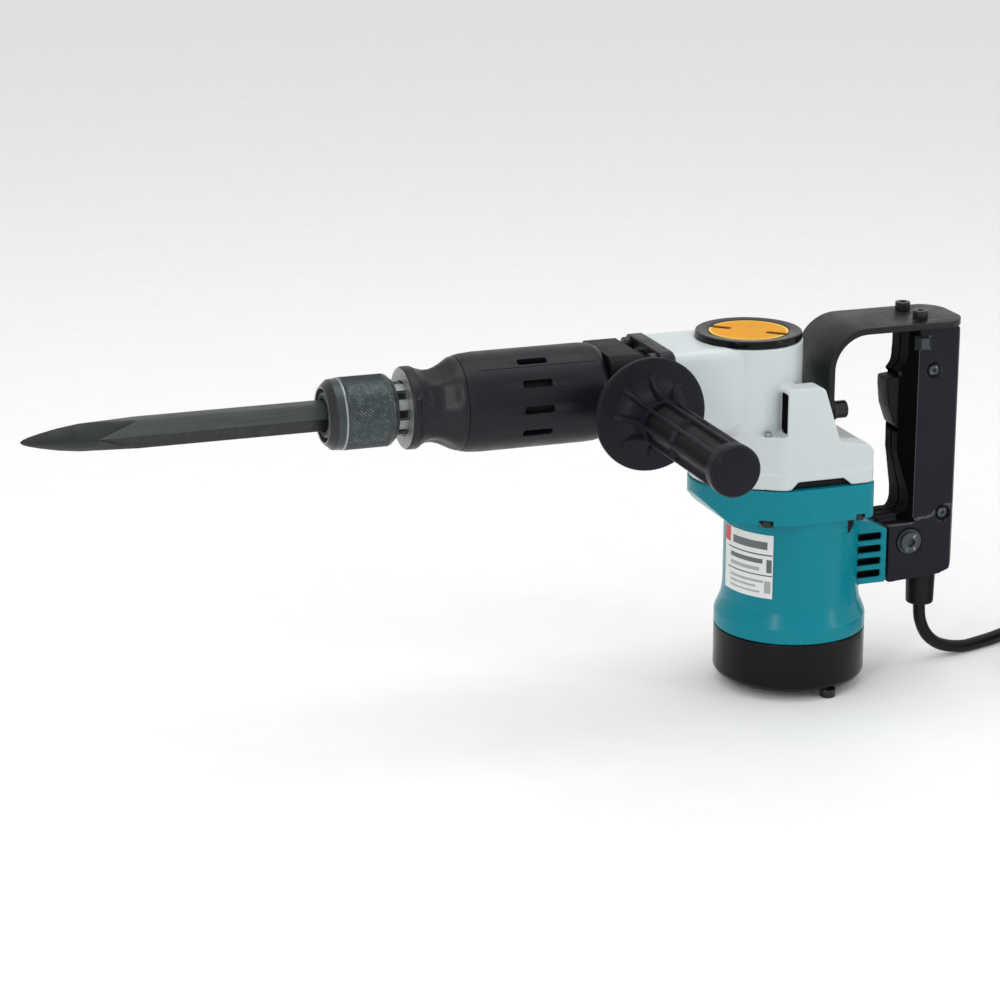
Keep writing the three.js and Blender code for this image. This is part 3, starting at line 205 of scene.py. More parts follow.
LOOKS = {
    "chisel": finish("chisel_steel", (0.055, 0.065, 0.062), 0.45, 0.3, vary=0.1, rough_vary=0.05, grain=900,
                     grain_depth=0.04, streak=(30, 700, 700), stain=(0.05, 0.045, 0.036), shine=0.35),
    # painted shade: a darker steel for the chisel's lower faces and its point's facets; the point is
    # ground, its darkness is painted shade
    "ground_and_shade": finish("ground_steel_and_painted_shade", (0.018, 0.021, 0.022), 0.42, 0.4, vary=0.18, rough_vary=0.06,
                     grain=900, grain_depth=0.04, streak=(300, 90, 90), shine=0.35),
    "sleeve": finish("sleeve_steel", (0.042, 0.054, 0.058), 0.34, 0.5, vary=0.12, grain=1800,
                     wear=(0.3, 0.33, 0.35)),
    # painted highlight: bright steel on the retaining sleeve's rims and nose edge, standing in for the
    # light they catch
    "sleeve_highlight": finish("painted_highlight_steel", (0.3, 0.32, 0.33), 0.3, 0.85, vary=0.1, grain=1800),
    "bright": finish("bright_steel", (0.5, 0.51, 0.52), 0.3, 1.0, vary=0.08, streak=(900, 900, 60)),
    "grey_steel": finish("grey_steel", (0.33, 0.34, 0.34), 0.42, 0.6, vary=0.12, streak=(60, 700, 700)),
    "bolt": finish("bolt_steel", (0.011, 0.0115, 0.013), 0.34, 0.25, vary=0.2, grain=1600,
                   wear=(0.2, 0.2, 0.21)),
    "casting": finish("black_casting", (0.0042, 0.005, 0.0078), 0.4, 0.0, vary=0.25, grain=700,
                      grain_depth=0.04,
                      ripple=180, ripple_depth=0.05, wear=(0.05, 0.052, 0.055), wear_from=0.57, shine=0.3),
    "cover": finish("cover_plastic", (0.0068, 0.0076, 0.0105), 0.38, 0.0, vary=0.15, grain=2200,
                    grain_depth=0.03, ripple=60, wear=(0.04, 0.04, 0.045), wear_from=0.57, shine=0.22),
    "clamp": finish("clamp_plastic", (0.006, 0.006, 0.0064), 0.5, 0.0, vary=0.2, grain=1500,
                    grain_depth=0.07, wear=(0.045, 0.045, 0.045), wear_from=0.57, shine=0.14),
    "grip": finish("grip_plastic", (0.0062, 0.0072, 0.012), 0.42, 0.0, vary=0.12, grain=2400,
                   grain_depth=0.04, ripple=90, wear=(0.04, 0.04, 0.05), wear_from=0.57, shine=0.16),
    "handle": finish("handle_plastic", (0.0078, 0.0082, 0.0145), 0.38, 0.0, vary=0.12, grain=2600,
                     grain_depth=0.035, ripple=70, wear=(0.05, 0.05, 0.06), wear_from=0.57, shine=0.16),
    "trigger": finish("trigger_plastic", (0.0042, 0.0042, 0.005), 0.46, 0.0, vary=0.12, grain=2600,
                      grain_depth=0.02, shine=0.16),
    "grey": finish("grey_paint", (0.53, 0.585, 0.59), 0.34, 0.0, vary=0.02, rough_vary=0.04, grain=520,
                   grain_depth=0.035, ripple=140, ripple_depth=0.06, coat=0.2),
    "teal": finish("teal_plastic", (0.0, 0.196, 0.252), 0.26, 0.0, vary=0.035, rough_vary=0.04, grain=1600,
                   grain_depth=0.015, ripple=80, ripple_depth=0.05, coat=0.05, shine=0.15),
    "end_cap": finish("end_cap_plastic", (0.0032, 0.0032, 0.004), 0.24, 0.0, vary=0.2, grain=1500,
                      grain_depth=0.02, ripple=90, coat=0.06, shine=0.14),
    "strap": finish("strap_paint", (0.0085, 0.0105, 0.01), 0.42, 0.05, vary=0.15, grain=1100,
                    grain_depth=0.05, coat=0.05, wear=(0.12, 0.12, 0.12), wear_from=0.57, shine=0.2),
    # painted shade: near-black for the rear grip's front-facing faces and the faces between its halves,
    # darker than the grip's own plastic
    "grip_front_shade": finish("painted_front_shade_plastic", (0.001, 0.001, 0.0012), 0.6, 0.0, vary=0.15, grain=2600,
                         shine=0.04),
    # painted highlight: a lighter plastic on the rear grip's rounded front edge and the ledge over the
    # bracket, standing in for the light they catch
    "grip_edge_highlight": finish("painted_edge_highlight_plastic", (0.05, 0.053, 0.065), 0.4, 0.0, vary=0.3, grain=2600,
                        shine=0.3),
    # painted shade: the "dark" look is near-black laid on the inner faces of bores, slots, louvres and
    # screw recesses, where shade falls
    "dark": finish("painted_recess_shade", (0.003, 0.003, 0.0034), 0.6, 0.0, vary=0.2, shine=0.2),
    "orange": finish("orange_print", (0.68, 0.3, 0.02), 0.6, 0.0, shine=0.1, vary=0.05, grain=1200,
                     grain_depth=0.02),
    "yellow": finish("yellow_print", (0.86, 0.56, 0.09), 0.42, 0.0, vary=0.04, grain=1200,
                     grain_depth=0.02),
    "white": finish("white_foil", (0.68, 0.7, 0.69), 0.3, 0.0, vary=0.03, grain=1200, grain_depth=0.015),
    "print": finish("grey_print", (0.1, 0.105, 0.11), 0.42, 0.0, vary=0.2, grain=1200, grain_depth=0.02),
    "pale_print": finish("pale_print", (0.33, 0.34, 0.35), 0.42, 0.0, vary=0.1, grain=1200,
                         grain_depth=0.02),
    "red": finish("red_print", (0.55, 0.03, 0.025), 0.4, 0.0, vary=0.08, grain=1200, grain_depth=0.02),
    "rubber": finish("cord_rubber", (0.0058, 0.0058, 0.0062), 0.42, 0.0, vary=0.2, grain=1900,
                     grain_depth=0.04, ripple=150, shine=0.2),
    "tie": finish("tie_rubber", (0.016, 0.016, 0.017), 0.7, 0.0, vary=0.2, grain=1300, grain_depth=0.12),
    "copper": finish("copper_winding", (0.5, 0.19, 0.08), 0.35, 0.9, vary=0.2, streak=(900, 900, 90)),
    "carbon": finish("carbon_brush", (0.02, 0.02, 0.022), 0.7, 0.0, vary=0.2, grain=900, grain_depth=0.1),
    "laminate": finish("laminated_steel", (0.15, 0.155, 0.16), 0.45, 0.8, vary=0.2, streak=(60, 60, 1500)),
}

# ---------------------------------------------------------------- shapes, as (points in mm, faces)


def rounded(corners, step=12.0, closed=True):
    """An outline of corners (a, b, radius) with true arcs, a point every step degrees."""
    points = []
    count = len(corners)
    for i, corner in enumerate(corners):
        here = Vector(corner[:2])
        radius = corner[2] if len(corner) > 2 else 0
        if radius <= 0 or (not closed and i in (0, count - 1)):
            points.append(tuple(here))
            continue
        back = Vector(corners[i - 1][:2]) - here
        ahead = Vector(corners[(i + 1) % count][:2]) - here
        room = 0.499 * min(back.length, ahead.length)
        back.normalize()
        ahead.normalize()
        half = math.acos(max(-1, min(1, back.dot(ahead)))) / 2
        if half > 0.49 * PI:
            points.append(tuple(here))
            continue
        reach = min(radius / math.tan(half), room)
        radius = reach * math.tan(half)
        centre = here + (back + ahead).normalized() * (radius / math.sin(half))
        first = here + back * reach - centre
        last = here + ahead * reach - centre
        start = math.atan2(first.y, first.x)
        turn = (math.atan2(last.y, last.x) - start + PI) % (2 * PI) - PI
        steps = max(2, math.ceil(abs(math.degrees(turn)) / step))
        for k in range(steps + 1):
            a = start + turn * k / steps
            points.append((centre.x + radius * math.cos(a), centre.y + radius * math.sin(a)))
    return points


def spot(axis, a, b, along):
    return {"x": (along, a, b), "y": (a, along, b), "z": (a, b, along)}[axis]


def prism(axis, outline, low, high):
    """An outline in the plane across the axis: (y, z), (x, z) or (x, y), drawn out from low to high."""
    count = len(outline)
    points = [spot(axis, a, b, level) for level in (low, high) for a, b in outline]
    faces = [tuple(reversed(range(count))), tuple(range(count, 2 * count))]
    faces += [(i, (i + 1) % count, count + (i + 1) % count, count + i) for i in range(count)]
    return points, faces


def block(x0, y0, z0, x1, y1, z1):
    return prism("z", [(x0, y0), (x1, y0), (x1, y1), (x0, y1)], z0, z1)


def lathe(axis, profile, segments=96, place=(0, 0, 0), shaped=None):
    """A closed profile of (radius, along) turned round an axis. shaped(...) may change a radius."""
    points = []
    faces = []
    for radius, along in profile:
        for k in range(segments):
            a = 2 * PI * k / segments
            r = shaped(a, radius, along) if shaped else radius
            p = spot(axis, r * math.cos(a), r * math.sin(a), along)
            points.append(tuple(p[i] + place[i] for i in range(3)))
    count = len(profile)
    for i in range(count):
        j = (i + 1) % count
        if profile[i][0] < 1e-6 and profile[j][0] < 1e-6:
            continue
        for k in range(segments):
            n = (k + 1) % segments
            faces.append((i * segments + k, i * segments + n, j * segments + n, j * segments + k))
    return points, faces


def rod(axis, radius, low, high, place=(0, 0, 0), segments=48):
    return lathe(axis, [(0, low), (radius, low), (radius, high), (0, high)], segments, place)


def turned_about_x(shape, degrees):
    """A shape turned about the barrel's axis."""
    points, faces = shape
    cosine = math.cos(math.radians(degrees))
    sine = math.sin(math.radians(degrees))
    turned = []
    for x, y, z in points:
        up = z - BARREL_Z
        turned.append((x, y * cosine - up * sine, BARREL_Z + y * sine + up * cosine))
    return turned, faces


# ---------------------------------------------------------------- objects


def build(name, *shapes):
    mesh = bpy.data.meshes.new(name)
    points = []
    faces = []
    for more_points, more_faces in shapes:
        first = len(points)
        points += [tuple(c * MM for c in p) for p in more_points]
        faces += [tuple(first + i for i in face) for face in more_faces]
    mesh.from_pydata(points, [], faces)
    clean(mesh)
    obj = bpy.data.objects.new(name, mesh)
    bpy.context.scene.collection.objects.link(obj)
    return obj


def clean(mesh):
    work = bmesh.new()
    work.from_mesh(mesh)
    bmesh.ops.remove_doubles(work, verts=work.verts, dist=2e-7)
    bmesh.ops.recalc_face_normals(work, faces=work.faces)
    work.to_mesh(mesh)
    work.free()


def bake(obj):
    bpy.context.view_layer.update()
    result = obj.evaluated_get(bpy.context.evaluated_depsgraph_get())
    mesh = bpy.data.meshes.new_from_object(result)
    obj.modifiers.clear()
    old = obj.data
    obj.data = mesh
    bpy.data.meshes.remove(old)


def combine(obj, operation, shapes):
    for shape in shapes:
        tool = build("tool", shape)
        step = obj.modifiers.new("combine", "BOOLEAN")
        step.operation = operation
        step.solver = "EXACT"
        step.object = tool
        bake(obj)
        bpy.data.objects.remove(tool)


def fuse(obj, *shapes):
    combine(obj, "UNION", shapes)


def carve(obj, *shapes):
    combine(obj, "DIFFERENCE", shapes)


def keep(obj, *shapes):
    combine(obj, "INTERSECT", shapes)


def round_edges(obj, width, segments=2, angle=32):
    step = obj.modifiers.new("edges", "BEVEL")
    step.width = width * MM
    step.segments = segments
    step.limit_method = "ANGLE"
    step.angle_limit = math.radians(angle)
    step.use_clamp_overlap = True
    bake(obj)


def soften(obj, voxel, rounds):
    """A cast or moulded skin: one even mesh with every edge and inside corner rounded."""
    step = obj.modifiers.new("skin", "REMESH")
    step.mode = "VOXEL"
    step.voxel_size = voxel * MM
    step = obj.modifiers.new("smooth", "SMOOTH")
    step.factor = 0.5
    step.iterations = rounds
    bake(obj)


def shade(obj, angle=38):
    for face in obj.data.polygons:
        face.use_smooth = True
    obj.data.set_sharp_from_angle(angle=math.radians(angle))


def place_piece(obj, look, body="root", stands_for=(), angle=38):
    shade(obj, angle)
    obj.data.materials.clear()
    obj.data.materials.append(LOOKS[look])
    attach(obj, body)
    if stands_for:
        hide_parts(*([stands_for] if isinstance(stands_for, str) else stands_for))


def inside_radius(c, radius):
    """Whether a point in mm is closer to the barrel's axis than radius."""
    return c.y ** 2 + (c.z - BARREL_Z) ** 2 < radius ** 2


def second_look(obj, look, chosen):
    """Gives the faces that chosen(centre in mm, normal) accepts a second material."""
    obj.data.materials.append(LOOKS[look])
    index = len(obj.data.materials) - 1
    for face in obj.data.polygons:
        if chosen(face.center / MM, face.normal):
            face.material_index = index


# ---------------------------------------------------------------- mains cord, plug and tie

CORD_R = 4.0
COIL_X = 222.0
COIL_Y = -42.0
PLUG_Z = 8.4
TAIL_X = 285.5
ROUTE = [
    (93, 0, 35.7), (93, 0, 32), (94.2, 0.1, 23), (99, 0.6, 13), (107, 1.5, 5.6), (118, 2.9, 1.2),
    (130, 4.8, -0.6), (142, 8.2, -0.6), (154, 12.6, -0.6), (166, 18.1, -0.6), (178, 21.2, -0.6),
         (187.7, 21.5, -0.6),
]
# Each turn of the coil: its radius and height.
TURNS = [(r, -0.6) for r in (63.5, 55.5, 47.5, 39.5)]
TURNS += [(r, 6.4) for r in (35.5, 43.5, 51.5, 59.5)]
TURNS += [(r, 13.4) for r in (63.5, 55.5, 47.5, 39.5)]
TURNS += [(r, 20.4) for r in (35.5, 43.5, 51.5, 59.5)]


def smooth_line(points):
    """Points of a curve that runs smoothly through the given ones."""
    steps = 5
    result = []
    ends = [points[0]] + list(points) + [points[-1]]
    for i in range(len(points) - 1):
        a, b, c, d = (Vector(p) for p in ends[i:i + 4])
        for k in range(steps):
            t = k / steps
            result.append(0.5 * (2 * b + (c - a) * t + (2 * a - 5 * b + 4 * c - d) * t * t
                                 + (3 * b - a - 3 * c + d) * t ** 3))
    result.append(Vector(points[-1]))
    return result


def ease(t):
    t = max(0.0, min(1.0, t))
    return t * t * (3 - 2 * t)


def cord_line():
    line = smooth_line(ROUTE)
    line += [Vector((x, 21.5, -0.6)) for x in (199, 210)]
    steps = 40
    shift_from = 0.72
    total = len(TURNS) - 1 + 0.25
    for k in range(int(total * steps) + 1):
        turn = k / steps
        i = int(turn)
        r, z = TURNS[i]
        part = turn - i
        if part > shift_from and i + 1 < len(TURNS):
            t = ease((part - shift_from) / (1 - shift_from))
            r += (TURNS[i + 1][0] - r) * t
            z += (TURNS[i + 1][1] - z) * t
        a = PI / 2 - 2 * PI * turn
        line.append(Vector((COIL_X + r * math.cos(a), COIL_Y + r * math.sin(a), z)))
    last_r, last_z = TURNS[-1]
    for k in range(1, 9):
        t = k / 8
        x = COIL_X + last_r + (TAIL_X - COIL_X - last_r) * ease(t)
        line.append(Vector((x, COIL_Y - 51 * t, last_z + (PLUG_Z - last_z) * ease(t))))
    return line


def make_cord():
    line = cord_line()
    length = sum((b - a).length for a, b in zip(line, line[1:])) * MM
    curve = bpy.data.curves.new("mains_cord", "CURVE")
    curve.dimensions = "3D"
    curve.bevel_depth = CORD_R * MM
    curve.bevel_resolution = 5
    curve.use_fill_caps = True
    spline = curve.splines.new("POLY")
    spline.points.add(len(line) - 1)
    for point, here in zip(spline.points, line):
        point.co = (*(here * MM), 1)
        point.radius = 1
    spline.use_smooth = True
    cord = bpy.data.objects.new("mains_cord", curve)
    bpy.context.scene.collection.objects.link(cord)
    curve.materials.append(LOOKS["rubber"])
    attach(cord, "root")
    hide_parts("cord", "cord_coil")
    return cord, length


def make_plug():
    rear = COIL_Y - 48

    def fluted(angle, radius, along):
        inside = rear - 39 < along < rear - 22 and radius > 10
        return radius - 0.55 * (0.5 + 0.5 * math.cos(24 * angle)) if inside else radius

    profile = rounded([(0, rear + 2), (5.4, rear + 2, 1), (6, rear - 2, 1), (7.4, rear - 12, 2),
                       (12.4, rear - 17, 3),
                       (13, rear - 20, 1), (13, rear - 22, 0), (13, rear - 23, 0), (13, rear - 38, 0),
                       (13, rear - 39, 0), (13, rear - 42, 1.6), (0, rear - 42)])
    body = build("mains_plug", lathe("y", profile, 144, (TAIL_X, 0, PLUG_Z), fluted))
    place_piece(body, "rubber", stands_for="plug")
    pin = rounded([(0, rear - 61), (2.4, rear - 61, 1.4), (2.4, rear - 41), (0, rear - 41)])
    pins = build("plug_pins", *[lathe("y", pin, 32, (TAIL_X + side * 9.5, 0, PLUG_Z)) for side in (-1, 1)])
    place_piece(pins, "bright")
    return [body, pins]


def make_tie():
    outer = rounded([(153.0, FLOOR_Z, 4), (192.6, FLOOR_Z, 4), (192.6, 26.0, 6), (153.0, 26.0, 6)])
    inner = rounded([(154.3, FLOOR_Z + 1.2, 3), (191.3, FLOOR_Z + 1.2, 3), (191.3, 24.7, 5),
                     (154.3, 24.7, 5)])
    strap = build("cord_strap", prism("y", outer, COIL_Y - 7, COIL_Y + 7))
    carve(strap, prism("y", inner, COIL_Y - 9, COIL_Y + 9))
    round_edges(strap, 0.3)
    place_piece(strap, "tie", stands_for="cord_tie")
    return strap


mains_cord, cord_length = make_cord()
on_cord = make_plug() + [make_tie()]

# ---------------------------------------------------------------- chisel, sleeve and tool holder


def make_chisel():
    corner = HEX_FLATS / 2 / math.cos(PI / 6)
    hexagon = [(corner * math.cos(PI * i / 3), BARREL_Z + corner * math.sin(PI * i / 3)) for i in range(6)]
    bar = build("point_chisel", prism("x", hexagon, CHISEL_TIP_X, CHISEL_REAR_X))
    widest = POINT_PROFILE[-1][1]
    past_rear = CHISEL_REAR_X + 4.2
    wedge = [(x, -half) for x, half in POINT_PROFILE] + [(past_rear, -widest), (past_rear, widest)]
    wedge += [(x, half) for x, half in reversed(POINT_PROFILE)]
    keep(bar, turned_about_x(prism("z", wedge, BARREL_Z - 15, BARREL_Z + 15), 45))
    keep(bar, turned_about_x(prism("y", [(x, z + BARREL_Z) for x, z in wedge], -15, 15), 45))
    round_edges(bar, 0.4, 2, 20)
    place_piece(bar, "chisel", "chisel", "chisel", 30)
    ground_from = POINT_PROFILE[-1][0] + 0.5
    # painted shade: the lower faces, and the ground point's facets, get the darker steel
    second_look(bar, "ground_and_shade", lambda c, n: n.z < 0.12 or (c.x < ground_from and abs(n.x) > 0.03))


def make_sleeve():
    pitch = 1.1
    segments = 124
    rows = 24
    first = -297.4

    def knurled(angle, radius, along):
        row = (along - first) / pitch
        if radius < 21 or row < 0.5 or row > rows - 0.5 or abs(row - round(row)) > 0.01:
            return radius
        column = round(angle / (2 * PI) * segments)
        return radius if (column + round(row)) % 2 else radius - 0.75

    front = rounded([(15.3, -301.3), (15.3, -306.6), (16.4, -307.4, 0.3), (16.4, -308.6, 0.2),
                     (17.2, -309, 0.3),
                     (21.3, -304.5, 1.2), (21.6, -299.4, 0.3), (22, -299, 0.2), (22, -298.4, 0.2),
                     (21.5, -298)],
                    closed=False)
    knurl = [(22, first + pitch * i) for i in range(rows + 1)]
    back = [(21.4, -270.6), (21.9, -270.2), (21.7, -269.4), (18.3, -265.8), (17.1, -265.6), (17.1, -301.3)]
    sleeve = build("retaining_sleeve", lathe("x", front + knurl + back, segments, (0, 0, BARREL_Z),
                                             knurled))
    place_piece(sleeve, "sleeve", "retainer_sleeve", "retainer_sleeve", 24)
    # painted shade and highlight: the front chamfer gets the darker bolt steel and the bore near-black as
    # painted shade, the rims and nose edge bright steel as painted highlight
    second_look(sleeve, "bolt", lambda c, n: c.x < -303.5)
    second_look(sleeve, "sleeve_highlight", lambda c, n: -300.8 < c.x < -298.3 or -270.6 < c.x < -269.8 or c.x < -308.3)
    second_look(sleeve, "dark", lambda c, n: inside_radius(c, 15.9))


def make_holder():
    def ribbed(angle, radius, along):
        if 16 < radius < 17 and -267 < along < -257.5:
            return radius - 2.2 * max(0, math.cos(8 * angle)) ** 0.5
        return radius

    profile = rounded([(10.4, -308.5), (12.8, -308.5, 0.8), (14.7, -306.6, 0.6), (14.7, -295.5),
                       (16.4, -295.5, 0.5)],
                      closed=False)
    profile += [(16.4, x) for x in (-268, -266.9, -266, -262, -259.6, -257.4)]
    profile += [(16.4, -226), (19.2, -226), (19.2, -200.2), (12.4, -200.2), (12.4, -222), (10.4, -222)]
    holder = build("tool_socket", lathe("x", profile, 192, (0, 0, BARREL_Z), ribbed))
    place_piece(holder, "sleeve", stands_for="tool_holder", angle=50)
    # painted highlight and shade: the rib tops get the lighter grey steel as painted highlight, the grooves
    # and the bore near-black as painted shade
    second_look(holder, "grey_steel", lambda c, n: c.x > -268 and not inside_radius(c, 16.2))
    second_look(holder, "dark", lambda c, n: c.x > -268 and inside_radius(c, 15))
    second_look(holder, "dark", lambda c, n: inside_radius(c, 12.5))


make_chisel()
make_sleeve()
make_holder()

# ---------------------------------------------------------------- barrel


def make_barrel():
    def neck(along):
        marks = [(-253.2, 25.2), (-250, 23.6), (-246, 22.4), (-242, 22.3), (-238, 23.4), (-234, 25.4),
                 (-230, 27.5), (-227, 28.5), (-225.3, 28.6)]
        for (x0, r0), (x1, r1) in zip(marks, marks[1:]):
            if x0 <= along <= x1:
                return r0 + (r1 - r0) * (along - x0) / (x1 - x0)
        return marks[-1][1]

    def lobed(angle, radius, along):
        if radius < 20 or along < -258 or along > -225.2:
            return radius
        weight = ease((along + 253) / 9) * ease((-226.4 - along) / 7)
        radius -= 1.3 * weight * (0.5 - 0.5 * math.cos(8 * angle + 0.5))
        flat = 21.4 / max(0.2, abs(math.cos(angle)))
        share = ease((-237.5 - along) / 6) * ease((along + 254.6) / 1.4)
        return radius - max(0, radius - flat) * share

    profile = rounded([(16.9, -259.2), (24.4, -259.2, 0.8), (25.2, -257.7, 0.6), (25.2, -254.6)],
                      closed=False)
    profile += [(neck(-253.2 + 0.9 * i), -253.2 + 0.9 * i) for i in range(32)]
    profile += [(28.6, -225.3), (25.9, -225.3), (25.9, -134), (22, -134), (22, -103.7), (19.7, -103.7),
                (19.7, -226.4), (16.9, -226.4)]
    barrel = build("barrel_casting", lathe("x", profile, 160, (0, 0, BARREL_Z), lobed))
    place_piece(barrel, "casting", stands_for="barrel_housing", angle=50)
    second_look(barrel, "grey_steel", lambda c, n: c.x < -258.9 and n.x < -0.9)
    # painted shade: the barrel behind the cover's slots is near-black
    second_look(barrel, "dark", lambda c, n: -224 < c.x < -135)


COVER_SLOTS = (30, 60, 90, 120, 240, 270, 300, 330)


def make_cover():
    profile = rounded([(26.5, -225), (29, -225, 0.6), (29.9, -221, 3), (30.5, -212, 6), (30.5, -146, 8),
                       (30.1, -138.5, 5), (27.9, -134.6, 1.6), (26.5, -134.6)])
    cover = build("barrel_sleeve", lathe("x", profile, 144, (0, 0, BARREL_Z)))
    slot = prism("z", rounded([(-191, -2.4, 1.6), (-172, -2.4, 1.6), (-172, 2.4, 1.6), (-191, 2.4, 1.6)]),
                 BARREL_Z + 24, BARREL_Z + 40)
    carve(cover, *[turned_about_x(slot, turn) for turn in COVER_SLOTS])
    groove = block(-223, -0.25, BARREL_Z + 30.05, -139, 0.25, BARREL_Z + 34)
    carve(cover, *[turned_about_x(groove, turn) for turn in (38, 218)])
    round_edges(cover, 0.35, 2, 50)
    place_piece(cover, "cover", stands_for="barrel_cover", angle=40)


def rectangle(half_y, half_z, corner_radius):
    signs = ((-1, -1), (1, -1), (1, 1), (-1, 1))
    return rounded([(a * half_y, BARREL_Z + b * half_z, corner_radius) for a, b in signs])


def make_flange():
    plate = build("flange_plate", prism("x", rectangle(31, 27.5, 7), -103.4, -94.3))
    carve(plate, rod("x", 22.3, -110, -80, (0, 0, BARREL_Z), 96))
    carve(plate, *[rod("x", 2.9, -110, -80, (0, y, BARREL_Z + z), 24)
                   for y in (-BOLT_PITCH, BOLT_PITCH) for z in (-BOLT_PITCH, BOLT_PITCH)])
    round_edges(plate, 1.1, 3)
    place_piece(plate, "casting", stands_for="barrel_flange")


def screw(name, axis, place, head_r, head, shank_r, shank, socket, node, look="bolt", washer=0.0):
    """A socket screw. Its head ends at head and its shank at shank, on either side of the seat at zero."""
    s = 1 if head > 0 else -1
    tall = abs(head)
    edge = min(0.6, 0.25 * tall)
    corners = [(0, -abs(shank)), (shank_r - 0.4, -abs(shank)), (shank_r, -abs(shank) + 0.5), (shank_r, 0)]
    if washer:
        corners += [(head_r, 0, 0.2), (head_r, washer, 0.3), (head_r * 0.84, washer)]
        head_r *= 0.84
    else:
        corners += [(head_r - 0.1, 0)]
    corners += [(head_r, min(0.3, tall / 4) + washer), (head_r, tall, edge), (0, tall)]
    profile = [(r, s * t) for r, t in rounded(corners, 22)]
    deep = 0.6 * tall
    ridges = 30

    def knurled(angle, radius, along):
        grip = radius > head_r - 0.01 and tall > 3 and 0.6 + washer < abs(along) < tall - edge
        return radius - 0.16 * (0.5 + 0.5 * math.cos(ridges * angle)) if grip else radius

    obj = build(name, lathe(axis, profile, 60, place, knurled))
    hexagon = [(socket * math.cos(PI * i / 3), socket * math.sin(PI * i / 3)) for i in range(6)]
    others = {"x": (1, 2), "y": (0, 2), "z": (0, 1)}[axis]
    along = {"x": 0, "y": 1, "z": 2}[axis]
    outline = [(a + place[others[0]], b + place[others[1]]) for a, b in hexagon]
    ends = sorted((place[along] + s * (tall - deep), place[along] + s * (tall + 2)))
    carve(obj, prism(axis, outline, *ends))
    place_piece(obj, look, stands_for=node, angle=30)


make_barrel()
make_cover()
make_flange()
for number, (a, b) in enumerate([(-1, 1), (1, 1), (1, -1), (-1, -1)], 1):
    place = (-103.7, a * BOLT_PITCH, BARREL_Z + b * BOLT_PITCH)
    screw(f"flange_socket_{number}", "x", place, 4.4, -4.6, 2.5, 28, 2.3, node=f"flange_bolt_{number}")

# ---------------------------------------------------------------- gear housing and crank cap


def plan(inset):
    """The outline seen from above that the gear housing's foot and the top of the motor housing share."""
    half = 46.5 - inset
    rear = 37 - inset
    nose = 36.5 - inset
    nose_arc = [(CRANK_X + nose * math.cos(math.radians(120 + 120 * k / 24)),
                 nose * math.sin(math.radians(120 + 120 * k / 24))) for k in range(25)]
    corners = [(rear, half, 7), (-27, half, 8)] + nose_arc + [(-27, -half, 8), (rear, -half, 7)]
    return rounded(corners, 8)


def make_gear_housing():
    house = build("gear_case", prism("z", plan(1.9), 144, 169.3))
    carve(house, block(-21, -60, 158, 60, 60, 175))
    front = rounded([(a * 30.2, BARREL_Z + b * 26.6, 7) for a, b in ((-1, -1), (1, -1), (1, 1), (-1, 1))])
    ear = rounded([(-24.2, 146), (34.9, 146), (34.9, 155.4, 2), (31.8, 160, 2.5), (11.8, 163.2, 5),
                   (0.1, 199.4, 5), (-24.2, 199.4, 2.5)])
    fuse(house, prism("z", plan(0.6), 135.4, 145.3), prism("x", front, -94, CRANK_X),
         rod("z", 34, 150, 223.4, (CRANK_X, 0, 0), 128), block(-20, -31, 150, 11, 31, 181.3),
         prism("y", ear, -44.4, -29.6), prism("y", ear, 29.6, 44.4))
    carve(house, rod("z", 29.6, 130, 230, (CRANK_X, 0, 0), 96),
          rod("x", 22, -99, CRANK_X, (0, 0, BARREL_Z), 72), block(-22, -13, 130, 14, 13, 156))
    notch = rounded([(-22, 130), (20, 130), (20, 135), (14, 140.2, 1.5), (-17, 140.2, 1.5), (-22, 135)])
    for side in (-1, 1):
        carve(house, prism("y", notch, *sorted((side * 50, side * 43.2))))
        carve(house, block(-26, min(side * 32.5, side * 42.2), 170.5, -18.6, max(side * 32.5, side * 42.2),
                           195.6))
        carve(house, rod("x", 2.8, -1, 15, (0, side * SEAT_BOLT_Y, SEAT_BOLT_Z), 24))
    carve(house, *[rod("z", 2.4, 130, 145.6, (x, y, 0), 24) for x, y in MOTOR_SCREWS.values()])
    carve(house, rod("z", 33.8, 223.4, 230, (CRANK_X, 0, 0), 96))
    soften(house, 0.8, 5)
    place_piece(house, "grey", stands_for="gear_housing", angle=70)

    # painted shade: near-black on the faces inside the ears' slots and the foot's vent notches
    def in_recess(c, _):
        slot_room = -23.2 < c.x < -18 and 170 < c.z < 196 and 31.8 < abs(c.y) < 42.8
        vent_room = abs(c.y) < 44.9 and -22.5 < c.x < 20.5 and c.z < 141.2 and abs(c.y) > 42.5
        return slot_room or vent_room

    second_look(house, "dark", in_recess)


